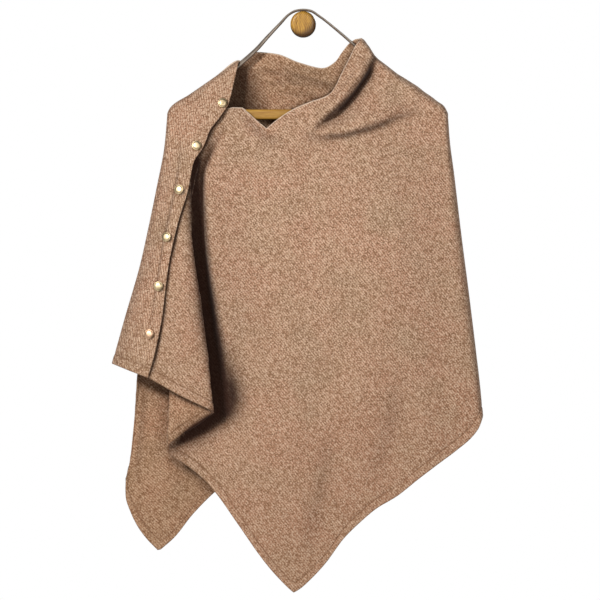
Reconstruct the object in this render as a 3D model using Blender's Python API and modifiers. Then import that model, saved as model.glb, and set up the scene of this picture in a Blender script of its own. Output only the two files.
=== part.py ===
"""A knitted poncho on a strap hanger, hung over a round wooden wall peg.

The cloth is one long knitted strip, folded over the hanger. It is made here as three
walls that meet at the folds: front, back and left_wrap. Six domed buttons close the
placket. +Z is up, +X is right and the wall is the plane y = 0, behind the garment.
The origin is the middle of the peg's flat back face, on the wall.
"""
import math

import bpy
import numpy as np
from mathutils import Matrix, Vector

# Places on the cloth are measured in picture steps, across and down, and turned into
# metres by STEP. Depth is in millimetres out from the wall.
STEP = 0.0016
PEG_ACROSS = 303.2
PEG_DOWN = 24.1

CLOTH_WALL = 0.0024
SEAM_GAP = 0.0005
LAP = 5.0
SEAM_DEPTH = 55.0
SHOULDER_ROLL = 12.0
SIDE_ROLL = 14.0

BAR_WIDTH = 0.424
BAR_HEIGHT = 0.016
BAR_DEPTH = 0.015
BAR_EDGE = 0.004
BAR_ACROSS = 309.0
BAR_DOWN = 114.2
STRAP_THICK = 0.0042
STRAP_WIDTH = 0.016
STRAP_POINTS = 56
PEG_RADIUS = 0.0204
PEG_LENGTH = 0.108
PEG_EDGE = 0.0065
BUTTON_RADIUS = 0.008
BUTTON_HEIGHT = 0.0055
BUTTON_GAP = 0.0005

# Neck edge and shoulder of the front, left to right: place along it (0 to 1) and the point.
FRONT_TOP = (
    ("place", "across", "down", "depth"),
    (0.000, 213.0, 103.5, 75),
    (0.030, 217.5, 105.0, 76),
    (0.100, 222.0, 107.0, 77),
    (0.140, 225.5, 108.0, 78),
    (0.180, 229.0, 108.0, 78),
    (0.220, 233.0, 107.2, 78),
    (0.330, 243.0, 107.6, 78),
    (0.380, 254.5, 118.0, 80),
    (0.430, 266.6, 128.4, 84),
    (0.480, 277.2, 119.3, 84),
    (0.540, 292.6, 109.4, 84),
    (0.600, 312.2, 101.0, 84),
    (0.630, 324.0, 97.0, 84),
    (0.650, 331.0, 92.5, 83),
    (0.670, 336.0, 85.0, 82),
    (0.690, 340.3, 75.8, 80),
    (0.730, 348.7, 59.0, 74),
    (0.770, 355.7, 45.0, 69),
    (0.800, 361.4, 38.3, 69),
    (0.830, 368.3, 46.0, 72),
    (0.850, 373.0, 54.0, 74),
    (0.890, 395.7, 73.0, 74),
    (0.930, 414.8, 85.6, 74),
    (0.965, 434.0, 100.0, 73),
    (0.985, 443.5, 106.8, 72),
    (1.000, 447.3, 113.0, 71),
)

# Columns of the front, from the placket to the right side. Across, down and depth are
# given at fifths of the way from neck to hem. The two folds of the pleat are named
# first_fold and second_fold, and get their roundness further down. The first two
# columns lie under the left wrap and take their depth from it.
FRONT_ACROSS = (
    ("name", "place", "fifth", "two_fifths", "three_fifths", "four_fifths"),
    ("underlap", 0.00, 178, 164, 151.5, 144.5),
    ("placket", 0.03, 189, 176, 163.5, 156.5),
    ("first_fold", 0.14, 190, 191, 198.5, 206.5),
    ("second_fold", 0.22, 196, 182, 174, 170),
    ("shadow", 0.33, 203, 205, 212, 221),
    ("rise", 0.36, 207, 212, 226, 240),
    ("left", 0.43, 262, 258, 257, 254),
    ("middle", 0.56, 297, 299, 300, 298),
    ("right", 0.69, 346, 351, 355, 358),
    ("shoulder", 0.82, 376, 389, 400, 410),
    ("outer", 0.92, 413, 425, 436, 446),
    ("side", 1.00, 453.6, 461, 468.5, 475.6),
)
FRONT_DOWN = (
    ("name", "fifth", "two_fifths", "three_fifths", "four_fifths"),
    ("underlap", 157, 213, 269, 324),
    ("placket", 160, 215, 270, 325),
    ("first_fold", 168, 229, 290, 350),
    ("second_fold", 172, 240, 310, 380),
    ("shadow", 180, 254, 328, 404),
    ("rise", 179, 253, 327, 405),
    ("left", 208, 287, 366, 446),
    ("middle", 206, 303, 400, 496),
    ("right", 165, 255, 344, 434),
    ("shoulder", 128, 215, 303, 391),
    ("outer", 138, 217, 296, 375),
    ("side", 174, 236, 294, 352),
)
FRONT_DEPTH = (
    ("name", "fifth", "two_fifths", "three_fifths", "four_fifths", "hem"),
    ("first_fold", 90, 99, 102, 103, 102),
    ("second_fold", 80, 84, 85, 84, 84),
    ("shadow", 69, 65, 62, 64, 70),
    ("rise", 84, 86, 84, 79, 75),
    ("left", 93, 94, 93, 90, 86),
    ("middle", 98, 102, 101, 97, 92),
    ("right", 97, 103, 103, 98, 93),
    ("shoulder", 90, 95, 96, 93, 88),
    ("outer", 79, 82, 83, 81, 77),
    ("side", 70, 71, 71, 71, 70),
)
FRONT_NECK_CORNERS = (0.33, 0.43, 0.8)
FRONT_TIP = 0.56
BACK_CORNERS = (0.07, 0.32)
FOLD_RADIUS = (2.0, 5.0, 6.5, 7.5, 8.0)
FOLD_TURNS = (-90, -45, 0, 45, 90)
FOLD_PLACE = 0.018
SECOND_FOLD_SHARE = 0.75

# Share of its height that a soft fold keeps at both ends of its run.
FOLD_END_SHARE = 0.35

# Shares of a panel's height or width over which an edge line or a seam is followed.
TOP_REACH = 0.25
HEM_REACH = 0.2
SEAM_REACH = 0.1
BACK_SEAM_REACH = 0.12
WRAP_TOP_REACH = 0.3
SETTLE_REACH = 0.12
PLEAT_END = 0.27
PLEAT_FADE = 0.08
SHOULDER_START = 0.785
SHOULDER_FADE = 0.015
LEFT_SHOULDER_END = 0.2
LEFT_SHOULDER_FADE = 0.02
RIGHT_SHOULDER_START = 0.77
RIGHT_SHOULDER_FADE = 0.03

# Hem of the front, round both folds of the pleat, down to the tip and up to the side.
FRONT_HEM = (
    ("place", "across", "down"),
    (0.000, 133.0, 372.0),
    (0.030, 147.0, 377.5),
    (0.085, 180.0, 395.5),
    (0.122, 207.5, 408.6),
    (0.131, 211.7, 410.8),
    (0.140, 213.3, 412.3),
    (0.149, 211.8, 414.2),
    (0.158, 208.0, 417.2),
    (0.169, 200.3, 423.5),
    (0.191, 182.7, 434.2),
    (0.202, 172.6, 441.6),
    (0.211, 169.4, 444.6),
    (0.220, 168.3, 449.2),
    (0.229, 169.2, 453.4),
    (0.238, 172.0, 456.2),
    (0.275, 183.7, 463.6),
    (0.330, 203.0, 479.0),
    (0.360, 214.3, 491.3),
    (0.430, 239.0, 525.7),
    (0.500, 267.8, 565.9),
    (0.545, 287.5, 587.2),
    (0.560, 293.7, 592.7),
    (0.575, 300.5, 588.4),
    (0.600, 311.5, 578.4),
    (0.630, 325.5, 563.3),
    (0.660, 344.0, 538.2),
    (0.690, 359.3, 523.0),
    (0.730, 376.5, 508.5),
    (0.780, 396.5, 496.5),
    (0.820, 418.6, 479.0),
    (0.870, 437.7, 464.5),
    (0.920, 456.5, 450.5),
    (0.955, 472.0, 437.3),
    (0.975, 479.4, 427.0),
    (1.000, 482.3, 416.7),
)

# Soft folds raised on the front (height over 0) or pressed in (under 0), as runs of
# straight pieces: points across and down, height in millimetres, and half width in
# steps on the left and on the right of the run, as seen by someone walking along it.
FRONT_FOLDS = (
    ("name", "across", "down", "height", "left", "right"),
    ("collar band", (368, 358, 346, 330, 309), (52, 73, 91, 109, 124), 10, 8, 5),
    ("collar valley", (379, 367, 354, 338, 320), (57, 79, 98, 115, 127), -16, 12, 5),
    ("second drape", (306, 330, 358, 386, 410), (136, 132, 125, 115, 104), 8, 10, 6),
    ("second valley", (298, 326, 356, 388, 418), (146, 144, 137, 127, 115), -6, 7, 12),
    ("left neck fold", (240, 252, 262), (118, 132, 150), 4, 9, 9),
    ("long trough", (338, 325, 318, 311), (340, 395, 440, 490), -5, 20, 20),
    ("right drag", (400, 392, 378), (170, 240, 330), 3, 26, 26),
    ("left drag", (264, 264, 258), (200, 300, 400), 3, 20, 20),
    ("hem lift", (240, 262, 282), (470, 515, 560), 3, 14, 14),
)

# Fold line down the right side, where front and back meet.
RIGHT_SEAM = (
    ("height", "across", "down"),
    (0.00, 447.3, 113.0),
    (0.08, 449.2, 139.7),
    (0.20, 453.6, 174.0),
    (0.40, 461.0, 236.0),
    (0.60, 468.5, 294.0),
    (0.80, 475.6, 352.0),
    (0.92, 480.2, 392.0),
    (1.00, 482.3, 416.7),
)

BACK_TOP = (
    ("place", "across", "down", "depth"),
    (0.000, 168.0, 113.0, 55),
    (0.015, 170.5, 108.0, 55),
    (0.060, 190.0, 94.6, 55),
    (0.120, 215.0, 77.3, 55),
    (0.180, 238.6, 60.8, 55),
    (0.200, 244.0, 55.0, 43),
    (0.240, 256.0, 50.5, 41),
    (0.300, 275.8, 53.3, 41),
    (0.400, 298.2, 61.7, 40),
    (0.500, 322.0, 67.6, 40),
    (0.600, 335.0, 61.5, 40),
    (0.680, 343.0, 50.5, 41),
    (0.730, 350.8, 41.6, 43),
    (0.770, 357.0, 38.4, 47),
    (0.800, 361.4, 38.3, 55),
    (0.830, 368.3, 46.0, 55),
    (0.850, 373.0, 54.0, 55),
    (0.890, 395.7, 73.0, 55),
    (0.930, 414.8, 85.6, 55),
    (0.965, 434.0, 100.0, 55),
    (0.985, 443.5, 106.8, 55),
    (1.000, 447.3, 113.0, 55),
)
BACK_HEM = (
    ("place", "across", "down", "depth"),
    (0.000, 112.5, 364.0, 44),
    (0.030, 121.0, 366.5, 40),
    (0.070, 137.5, 371.0, 34),
    (0.110, 134.0, 418.0, 30),
    (0.150, 129.4, 462.0, 30),
    (0.185, 125.0, 486.5, 31),
    (0.200, 125.2, 496.0, 31),
    (0.230, 130.2, 512.5, 32),
    (0.265, 138.0, 528.0, 34),
    (0.290, 145.6, 538.4, 35),
    (0.320, 158.5, 551.7, 36),
    (0.370, 175.0, 537.0, 36),
    (0.420, 192.0, 515.5, 34),
    (0.480, 217.0, 490.5, 32),
    (0.600, 268.0, 455.0, 31),
    (0.720, 330.0, 436.0, 32),
    (0.840, 395.0, 426.0, 34),
    (0.920, 440.0, 420.0, 38),
    (1.000, 482.3, 416.7, 42),
)
BACK_BELLY = (44, 38, 34, 31, 30, 31, 32)
BACK_NEAREST = 42.5
BACK_FOLDS = (
    ("name", "across", "down", "height", "left", "right"),
    ("neck fold", (262, 292, 322, 336), (66, 76, 84, 84), 4, 7, 7),
    ("left long fold", (178, 160, 146, 138), (200, 300, 400, 470), -5, 12, 12),
    ("left edge roll", (136, 131, 127), (395, 440, 480), -6, 9, 9),
    ("middle trough", (160, 166, 172), (400, 450, 500), 5, 12, 12),
    ("centre fold", (290, 280, 268), (150, 270, 400), -5, 22, 22),
    ("right fold", (380, 392, 402), (130, 250, 380), -4, 20, 20),
)

WRAP_TOP = (
    ("place", "across", "down", "depth"),
    (0.00, 168.0, 113.0, 55),
    (0.06, 170.5, 108.0, 55),
    (0.35, 190.0, 94.6, 55),
    (0.70, 215.0, 77.3, 55),
    (1.00, 238.6, 60.8, 55),
)
# Fold line down the left side, where back and left wrap meet.
LEFT_SEAM = (
    ("height", "across", "down"),
    (0.00, 168.0, 113.0),
    (0.12, 165.0, 146.0),
    (0.27, 157.5, 186.0),
    (0.43, 148.9, 227.7),
    (0.58, 140.8, 264.0),
    (0.80, 125.0, 319.0),
    (1.00, 112.5, 364.0),
)
WRAP_LEFT_DEPTH = 71.0
WRAP_EDGE = (
    ("height", "across", "down", "depth"),
    (0.00, 238.6, 60.8, 69),
    (0.06, 234.0, 82.0, 77),
    (0.14, 228.4, 104.0, 84),
    (0.19, 220.5, 116.5, 88),
    (0.24, 210.5, 129.5, 92),
    (0.29, 204.0, 146.0, 96),
    (0.35, 193.8, 162.5, 99),
    (0.43, 188.4, 189.4, 104),
    (0.55, 177.9, 224.0, 109),
    (0.68, 168.4, 268.0, 112),
    (0.84, 161.7, 321.0, 114),
    (0.93, 155.0, 353.6, 114),
    (1.00, 148.0, 378.0, 113),
)
WRAP_BELLY = 9.0
WRAP_FOLDS = (
    ("name", "across", "down", "height", "left", "right"),
    ("underlap ridge", (196, 176, 158, 148, 140), (150, 205, 268, 320, 360), 1.5, 6, 6),
    ("shoulder drag", (206, 186, 168), (100, 140, 200), 2.5, 10, 10),
    ("lower drag", (158, 146, 134), (220, 280, 340), 2, 10, 10),
)

BUTTONS = (
    ("name", "across", "down"),
    ("button_1", 222.6, 103.6),
    ("button_2", 196.4, 146.0),
    ("button_3", 179.6, 189.8),
    ("button_4", 167.4, 237.6),
    ("button_5", 158.9, 286.4),
    ("button_6", 150.2, 333.0),
)

# Middle line of the strap from the bar's left end over the peg to its right end.
STRAP_LINE = (
    ("across", "down"),
    (184.0, 108.0),
    (209.0, 90.0),
    (238.0, 65.5),
    (256.1, 49.4),
    (267.3, 37.0),
    (280.0, 23.5),
    (289.8, 13.6),
    (296.5, 10.4),
    (303.2, 9.6),
    (309.9, 10.4),
    (319.3, 16.0),
    (340.3, 32.6),
    (350.8, 41.6),
    (380.0, 66.6),
    (408.0, 90.4),
    (428.0, 106.8),
)


def column(table, name):
    """One named column of a table, as numbers."""
    index = table[0].index(name)
    return np.array([row[index] for row in table[1:]], float)


def smooth(places, values, wanted):
    """A curve through the values that never swings past them."""
    x = np.asarray(places, float)
    y = np.asarray(values, float)
    w = np.clip(np.asarray(wanted, float), x[0], x[-1])
    step = np.diff(x).reshape((-1,) + (1,) * (y.ndim - 1))
    slope = np.diff(y, axis=0) / step
    left = slope[:-1]
    right = slope[1:]
    near = step[:-1]
    far = step[1:]
    first = 2 * far + near
    second = far + 2 * near
    same = left * right > 0
    safe_left = np.where(same, left, 1.0)
    safe_right = np.where(same, right, 1.0)
    inner = np.where(same, (first + second) / (first / safe_left + second / safe_right), 0.0)
    lean = np.concatenate([slope[:1], inner, slope[-1:]])
    k = np.clip(np.searchsorted(x, w, side="right") - 1, 0, len(x) - 2)
    h = (x[k + 1] - x[k]).reshape((-1,) + (1,) * (y.ndim - 1))
    t = ((w - x[k]) / (x[k + 1] - x[k])).reshape(h.shape)
    a = (1 + 2 * t) * (1 - t) ** 2
    b = t * (1 - t) ** 2
    c = t * t * (3 - 2 * t)
    d = t * t * (t - 1)
    return a * y[k] + b * h * lean[k] + c * y[k + 1] + d * h * lean[k + 1]


def edge(table, wanted, corners=()):
    """Points of an edge table at the wanted places, with a sharp turn at each corner."""
    places = column(table, table[0][0])
    values = np.stack([column(table, name) for name in table[0][1:]], axis=1)
    return cornered(places, values, np.asarray(wanted, float), corners)


def cornered(places, values, wanted, corners):
    """A smooth curve through the values, broken at the corners."""
    result = np.zeros((len(wanted), values.shape[1]))
    ends = [places[0], *sorted(corners), places[-1]]
    for first, last in zip(ends, ends[1:]):
        inside = (places >= first) & (places <= last)
        here = (wanted >= first) & (wanted <= last)
        result[here] = smooth(places[inside], values[inside], wanted[here])
    return result


def seam(table, heights):
    """Across and down of a side seam at the wanted heights."""
    values = np.stack([column(table, "across"), column(table, "down")], axis=1)
    return smooth(column(table, "height"), values, heights)


def metres(points):
    """Points across, down and out from the wall, as x, y and z in metres."""
    x = (points[..., 0] - PEG_ACROSS) * STEP
    y = -points[..., 2] / 1000
    z = (PEG_DOWN - points[..., 1]) * STEP
    return np.stack([x, y, z], axis=-1)


def raised(points, folds):
    """Height in millimetres that the table of soft folds gives at each point."""
    total = np.zeros(points.shape[:-1])
    for row in folds[1:]:
        fold = dict(zip(folds[0], row))
        line = np.stack([fold["across"], fold["down"]], axis=1).astype(float)
        nearest = np.full(points.shape[:-1], 1e9)
        along = np.zeros(points.shape[:-1])
        width = np.zeros(points.shape[:-1])
        for k in range(len(line) - 1):
            run = line[k + 1] - line[k]
            rest = points[..., :2] - line[k]
            t = np.clip((rest @ run) / (run @ run), 0, 1)
            apart = np.linalg.norm(rest - t[..., None] * run, axis=-1)
            closer = apart < nearest
            on_left = run[0] * rest[..., 1] - run[1] * rest[..., 0] < 0
            width = np.where(closer, np.where(on_left, fold["left"], fold["right"]), width)
            nearest = np.where(closer, apart, nearest)
            along = np.where(closer, (k + t) / (len(line) - 1), along)
        fade = np.clip(np.minimum(along, 1 - along) * 4, 0, 1)
        fade = FOLD_END_SHARE + (1 - FOLD_END_SHARE) * fade * fade * (3 - 2 * fade)
        total += fold["height"] * fade * np.exp(-((nearest / width) ** 2))
    return total


def rolled(depth, distance, radius, side):
    """Depth turned round towards the seam where the cloth is near its fold line."""
    turn = np.clip(distance / radius, 0, 1)
    share = np.sqrt(1 - (1 - turn) ** 2)
    meeting = SEAM_DEPTH + side * SEAM_GAP * 1000 / 2
    return meeting + (depth - meeting) * share


def roll_places(length, radius):
    """Places along a length, in 0 to 1, that follow the turn of a rolled edge."""
    turns = np.radians((0, 11, 32, 58, 90))
    return list(radius * (1 - np.cos(turns)) / length)


def along_rows(points):
    """Distance in millimetres of each point from the start of its row."""
    gap = np.linalg.norm(np.diff(points[..., :2], axis=1), axis=-1) * STEP * 1000
    return np.concatenate([np.zeros((len(points), 1)), np.cumsum(gap, axis=1)], axis=1)


def depth_under_wrap(across, down):
    """Depth that lies one lap behind the left wrap, at each place."""
    grid = wrap_surface(np.linspace(0.2, 1, 33), np.linspace(0, 1, 81))
    depths = []
    for x, z in zip(across, down):
        far = np.hypot(grid[..., 0] - x, grid[..., 1] - z)
        depths.append(grid[..., 2].flat[np.argmin(far)] - LAP)
    return depths


def front_stations():
    """Places and control points of the front's columns, with round pleat folds."""
    across_rows = {row[0]: row[2:] for row in FRONT_ACROSS[1:]}
    down_rows = {row[0]: row[1:] for row in FRONT_DOWN[1:]}
    depth_rows = {row[0]: row[1:] for row in FRONT_DEPTH[1:]}
    places = []
    lines = []
    for name, place in ((row[0], row[1]) for row in FRONT_ACROSS[1:]):
        hem = edge(FRONT_HEM, [place])[0]
        across = np.array([*across_rows[name], hem[0]])
        down = np.array([*down_rows[name], hem[1]])
        depth = depth_rows.get(name) or depth_under_wrap(across, down)
        line = np.stack([across, down, depth], axis=1).astype(float)
        if not name.endswith("_fold"):
            places.append(place)
            lines.append(line)
            continue
        side = 1 if name == "first_fold" else -1
        radius = np.array(FOLD_RADIUS) * (1.0 if side > 0 else SECOND_FOLD_SHARE)
        for turn in FOLD_TURNS:
            angle = math.radians(turn)
            bent = line.copy()
            bent[:, 0] += side * radius * (math.cos(angle) - 1) / (STEP * 1000)
            bent[:, 2] -= radius * math.sin(angle)
            places.append(place + turn / 90 * FOLD_PLACE)
            lines.append(bent)
    net = np.stack(lines, axis=1)
    net[-1, :, :2] = edge(FRONT_HEM, places, (FRONT_TIP,))
    return np.array(places), net


def near_end(distance, reach):
    """One at an end of a panel, falling softly to nothing at the reach."""
    return np.clip(1 - distance / reach, 0, 1) ** 2


def front_surface(places, heights):
    """Grid of points on the middle of the front's wall: rows go from neck to hem."""
    stations, net = front_stations()
    net = np.concatenate([edge(FRONT_TOP, stations, FRONT_NECK_CORNERS)[None], net])
    levels = np.linspace(0, 1, len(net))
    by_height = smooth(levels, net, heights)
    grid = smooth(stations, by_height.transpose(1, 0, 2), places).transpose(1, 0, 2)
    top = edge(FRONT_TOP, places, FRONT_NECK_CORNERS)
    hem = edge(FRONT_HEM, places, (FRONT_TIP,))
    near_top = near_end(heights, TOP_REACH)[:, None, None]
    near_hem = near_end(1 - heights, HEM_REACH)[:, None, None]
    grid += near_top * (top - smooth(stations, net[0], places))
    grid[..., :2] += near_hem * (hem - smooth(stations, net[-1, :, :2], places))
    to_seam = seam(RIGHT_SEAM, heights)[:, None] - grid[:, -1:, :2]
    beside = np.clip(1 - (1 - places) / SEAM_REACH, 0, 1)[None, :, None]
    grid[..., :2] += to_seam * beside
    main = np.clip((places - PLEAT_END) / PLEAT_FADE, 0, 1)[None]
    grid[..., 2] += raised(grid, FRONT_FOLDS) * main
    on_shoulder = np.clip((places - SHOULDER_START) / SHOULDER_FADE, 0, 1)
    drop = (grid[..., 1] - top[None, :, 1]) * STEP * 1000
    shoulder = rolled(grid[..., 2], drop, SHOULDER_ROLL, 1)
    grid[..., 2] = grid[..., 2] * (1 - on_shoulder) + shoulder * on_shoulder
    from_side = along_rows(grid[:, ::-1])[:, ::-1]
    side = rolled(grid[..., 2], from_side, SIDE_ROLL, 1)
    grid[..., 2] = np.where(places[None] > FRONT_TIP, side, grid[..., 2])
    return grid


def back_surface(places, heights):
    """Grid of points on the middle of the back's wall."""
    top = edge(BACK_TOP, places)
    hem = edge(BACK_HEM, places, BACK_CORNERS)
    h = heights[:, None, None]
    grid = top[None] * (1 - h) + hem[None] * h
    left = seam(LEFT_SEAM, heights)[:, None] - grid[:, :1, :2]
    right = seam(RIGHT_SEAM, heights)[:, None] - grid[:, -1:, :2]
    grid[..., :2] += left * near_end(places, BACK_SEAM_REACH)[None, :, None]
    grid[..., :2] += right * near_end(1 - places, BACK_SEAM_REACH)[None, :, None]
    middle = smooth(np.linspace(0, 1, len(BACK_BELLY)), BACK_BELLY, heights)
    settle = np.clip(heights / SETTLE_REACH, 0, 1)[:, None]
    hang = np.minimum(top[None, :, 2], BACK_NEAREST) * (1 - settle) + middle[:, None] * settle
    late = near_end(1 - heights, 0.5)[:, None]
    grid[..., 2] = hang * (1 - late) + hem[None, :, 2] * late
    grid[..., 2] += raised(grid, BACK_FOLDS)
    grid[..., 2] = np.minimum(grid[..., 2], BACK_NEAREST)
    drop = (grid[..., 1] - top[None, :, 1]) * STEP * 1000
    over_left = np.clip((LEFT_SHOULDER_END - places) / LEFT_SHOULDER_FADE, 0, 1)
    over_right = np.clip((places - RIGHT_SHOULDER_START) / RIGHT_SHOULDER_FADE, 0, 1)
    over = np.maximum(over_left, over_right)
    shoulder = rolled(grid[..., 2], drop, SHOULDER_ROLL, -1)
    grid[..., 2] = grid[..., 2] * (1 - over) + shoulder * over
    from_left = along_rows(grid)
    from_right = along_rows(grid[:, ::-1])[:, ::-1]
    grid[..., 2] = rolled(grid[..., 2], np.minimum(from_left, from_right), SIDE_ROLL, -1)
    return grid


def wrap_surface(places, heights):
    """Grid of points on the middle of the left wrap's wall."""
    top = edge(WRAP_TOP, places)[None]
    left = seam(LEFT_SEAM, heights)
    left = np.concatenate([left, np.full((len(left), 1), WRAP_LEFT_DEPTH)], axis=1)[:, None]
    right = edge(WRAP_EDGE, heights)[:, None]
    p = places[None, :, None]
    plain = top[:, :1] * (1 - p) + top[:, -1:] * p
    grid = left * (1 - p) + right * p
    fade = near_end(heights, WRAP_TOP_REACH)[:, None, None]
    grid[..., :2] += (fade * (top - plain))[..., :2]
    belly = np.sin(math.pi * places)[None] * np.clip(heights / SETTLE_REACH, 0, 1)[:, None]
    grid[..., 2] += WRAP_BELLY * belly + raised(grid, WRAP_FOLDS)
    drop = (grid[..., 1] - top[..., 1]) * STEP * 1000
    grid[..., 2] = rolled(grid[..., 2], drop, SHOULDER_ROLL, 1)
    grid[..., 2] = rolled(grid[..., 2], along_rows(grid), SIDE_ROLL, 1)
    return grid


def material(name, colour, roughness, metallic=0.0):
    made = bpy.data.materials.new(name)
    made.use_nodes = True
    shader = made.node_tree.nodes["Principled BSDF"]
    shader.inputs["Base Color"].default_value = (*colour, 1)
    shader.inputs["Roughness"].default_value = roughness
    shader.inputs["Metallic"].default_value = metallic
    return made


def add_object(name, data, collection, finish):
    made = bpy.data.objects.new(name, data)
    made.data.materials.append(finish)
    collection.objects.link(made)
    return made


def cloth_panel(name, surface, places, heights, collection, finish):
    """One wall of cloth: an open grid with Solidify."""
    points = metres(surface(np.array(places), np.array(heights)))
    rows, columns = points.shape[:2]
    faces = []
    for i in range(rows - 1):
        for j in range(columns - 1):
            a = i * columns + j
            faces.append((a, a + columns, a + columns + 1, a + 1))
    mesh = bpy.data.meshes.new(name)
    mesh.from_pydata(points.reshape(-1, 3).tolist(), [], faces)
    mesh.shade_smooth()
    panel = add_object(name, mesh, collection, finish)
    wall = panel.modifiers.new("wall", "SOLIDIFY")
    wall.thickness = CLOTH_WALL
    wall.offset = 0
    return panel


def spread(*runs):
    """Places along a panel: runs of first, last and how many, each place once."""
    places = [np.linspace(first, last, count) for first, last, count in runs]
    return sorted({round(float(place), 5) for place in np.concatenate(places)})


def front_panel(collection, finish):
    pleat = spread((0, 0.05, 4), (0.075, 0.1, 2), (0.122, 0.158, 5))
    hidden = spread((0.169, 0.191, 3), (0.202, 0.238, 5), (0.255, 0.31, 4))
    main = spread((0.33, 0.36, 4), (0.38, 0.43, 3), (0.455, 0.56, 6), (0.585, 0.8, 14))
    shoulder = spread((0.8, 0.85, 4), (0.85, 0.965, 7))
    side = 1 - np.array(roll_places(560, SIDE_ROLL))
    places = sorted({*pleat, *hidden, *main, *shoulder, *side})
    roll = roll_places(600, SHOULDER_ROLL)
    heights = roll + spread((0.031, 0.121, 11), (0.136, 0.211, 6), (0.235, 1, 20))
    return cloth_panel("front", front_surface, places, heights, collection, finish)


def back_panel(collection, finish):
    roll = np.array(roll_places(570, SIDE_ROLL))
    left = spread((0.045, 0.07, 2), (0.1, 0.32, 9), (0.36, 0.48, 3))
    right = spread((0.54, 0.77, 6), (0.785, 0.85, 4), (0.88, 0.965, 3))
    places = sorted({*roll, *left, *right, *(1 - roll)})
    heights = roll_places(600, SHOULDER_ROLL) + spread((0.05, 1, 18))
    return cloth_panel("back", back_surface, places, heights, collection, finish)


def left_wrap(collection, finish):
    places = roll_places(90, SIDE_ROLL) + spread((0.27, 1, 8))
    heights = roll_places(500, SHOULDER_ROLL) + spread((0.05, 1, 24))
    return cloth_panel("left_wrap", wrap_surface, places, heights, collection, finish)


def turned(name, profile, steps, collection, finish):
    """A solid turned round Z from a profile of radius and height."""
    mesh = bpy.data.meshes.new(name)
    points = [(radius, 0, height) for radius, height in profile]
    mesh.from_pydata(points, [(k, k + 1) for k in range(len(points) - 1)], [])
    made = add_object(name, mesh, collection, finish)
    screw = made.modifiers.new("turn", "SCREW")
    screw.steps = steps
    screw.render_steps = steps
    screw.use_merge_vertices = True
    screw.merge_threshold = 0.00005
    return made


def wrap_frame(across, down):
    """Point on the wrap's outer face over a place in the picture, and its normal."""
    places = np.linspace(0.3, 1, 36)
    heights = np.linspace(0, 1, 121)
    grid = wrap_surface(places, heights)
    far = np.hypot(grid[..., 0] - across, grid[..., 1] - down)
    i, j = np.unravel_index(np.argmin(far), far.shape)
    i = min(max(i, 2), len(heights) - 3)
    j = min(max(j, 2), len(places) - 3)
    solid = metres(grid)
    lengthways = Vector(solid[i + 2, j] - solid[i - 2, j])
    crossways = Vector(solid[i, j + 2] - solid[i, j - 2])
    normal = crossways.cross(lengthways).normalized()
    if normal.y > 0:
        normal.negate()
    return Vector(solid[i, j]), normal


def add_buttons(collection, finish):
    """Six domed metal buttons on the placket, each a turned solid."""
    r = BUTTON_RADIUS
    h = BUTTON_HEIGHT
    profile = (
        (0, h),
        (r * 0.4, h * 0.95),
        (r * 0.74, h * 0.74),
        (r * 0.94, h * 0.45),
        (r, h * 0.24),
        (r * 0.93, 0.0004),
        (r * 0.5, 0),
        (0, 0),
    )
    clear = CLOTH_WALL / 2 + BUTTON_GAP
    for name, across, down in BUTTONS[1:]:
        point, normal = wrap_frame(across, down)
        button = turned(name, profile, 12, collection, finish)
        turn = Vector((0, 0, 1)).rotation_difference(normal).to_matrix().to_4x4()
        button.matrix_world = Matrix.Translation(point + normal * clear) @ turn


def add_bar(collection, finish):
    bpy.ops.mesh.primitive_cube_add(size=1)
    bar = bpy.context.object
    bar.name = "hanger_bar"
    bar.data.name = "hanger_bar"
    bar.scale = (BAR_WIDTH, BAR_DEPTH, BAR_HEIGHT)
    bpy.ops.object.transform_apply(location=False, rotation=False, scale=True)
    bar.location = metres(np.array([BAR_ACROSS, BAR_DOWN, SEAM_DEPTH]))
    bar.data.materials.append(finish)
    for owner in bar.users_collection:
        owner.objects.unlink(bar)
    collection.objects.link(bar)
    bevel = bar.modifiers.new("edges", "BEVEL")
    bevel.width = BAR_EDGE
    bevel.segments = 2


def add_strap(collection, finish):
    """Flat leather strap: an outline in the picture's plane, as deep as it is wide."""
    marks = np.stack([column(STRAP_LINE, "across"), column(STRAP_LINE, "down")], axis=1)
    lengths = np.concatenate([[0], np.cumsum(np.linalg.norm(np.diff(marks, axis=0), axis=1))])
    marks = smooth(lengths, marks, np.linspace(0, lengths[-1], STRAP_POINTS))
    line = np.stack([marks[:, 0] - PEG_ACROSS, PEG_DOWN - marks[:, 1]], axis=1) * STEP
    lean = np.gradient(line, axis=0)
    lean /= np.linalg.norm(lean, axis=1)[:, None]
    across = np.stack([-lean[:, 1], lean[:, 0]], axis=1) * STRAP_THICK / 2
    outline = np.concatenate([line + across, (line - across)[::-1]])
    curve = bpy.data.curves.new("hanger_strap", "CURVE")
    curve.dimensions = "2D"
    curve.fill_mode = "BOTH"
    curve.extrude = STRAP_WIDTH / 2
    spline = curve.splines.new("POLY")
    spline.points.add(len(outline) - 1)
    for point, (x, z) in zip(spline.points, outline):
        point.co = (x, z, 0, 1)
    spline.use_cyclic_u = True
    strap = add_object("hanger_strap", curve, collection, finish)
    strap.location = (0, -SEAM_DEPTH / 1000, 0)
    strap.rotation_euler = (math.radians(90), 0, 0)


def add_peg(collection, finish):
    """Round wooden peg, flat on the wall, with a rounded front edge."""
    profile = [(0, PEG_LENGTH)]
    for turn in (90, 67.5, 45, 22.5, 0):
        angle = math.radians(turn)
        radius = PEG_RADIUS - PEG_EDGE + PEG_EDGE * math.cos(angle)
        height = PEG_LENGTH - PEG_EDGE + PEG_EDGE * math.sin(angle)
        profile.append((radius, height))
    profile += [(PEG_RADIUS, 0), (0, 0)]
    peg = turned("wall_peg", profile, 24, collection, finish)
    peg.rotation_euler = (math.radians(90), 0, 0)


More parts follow.
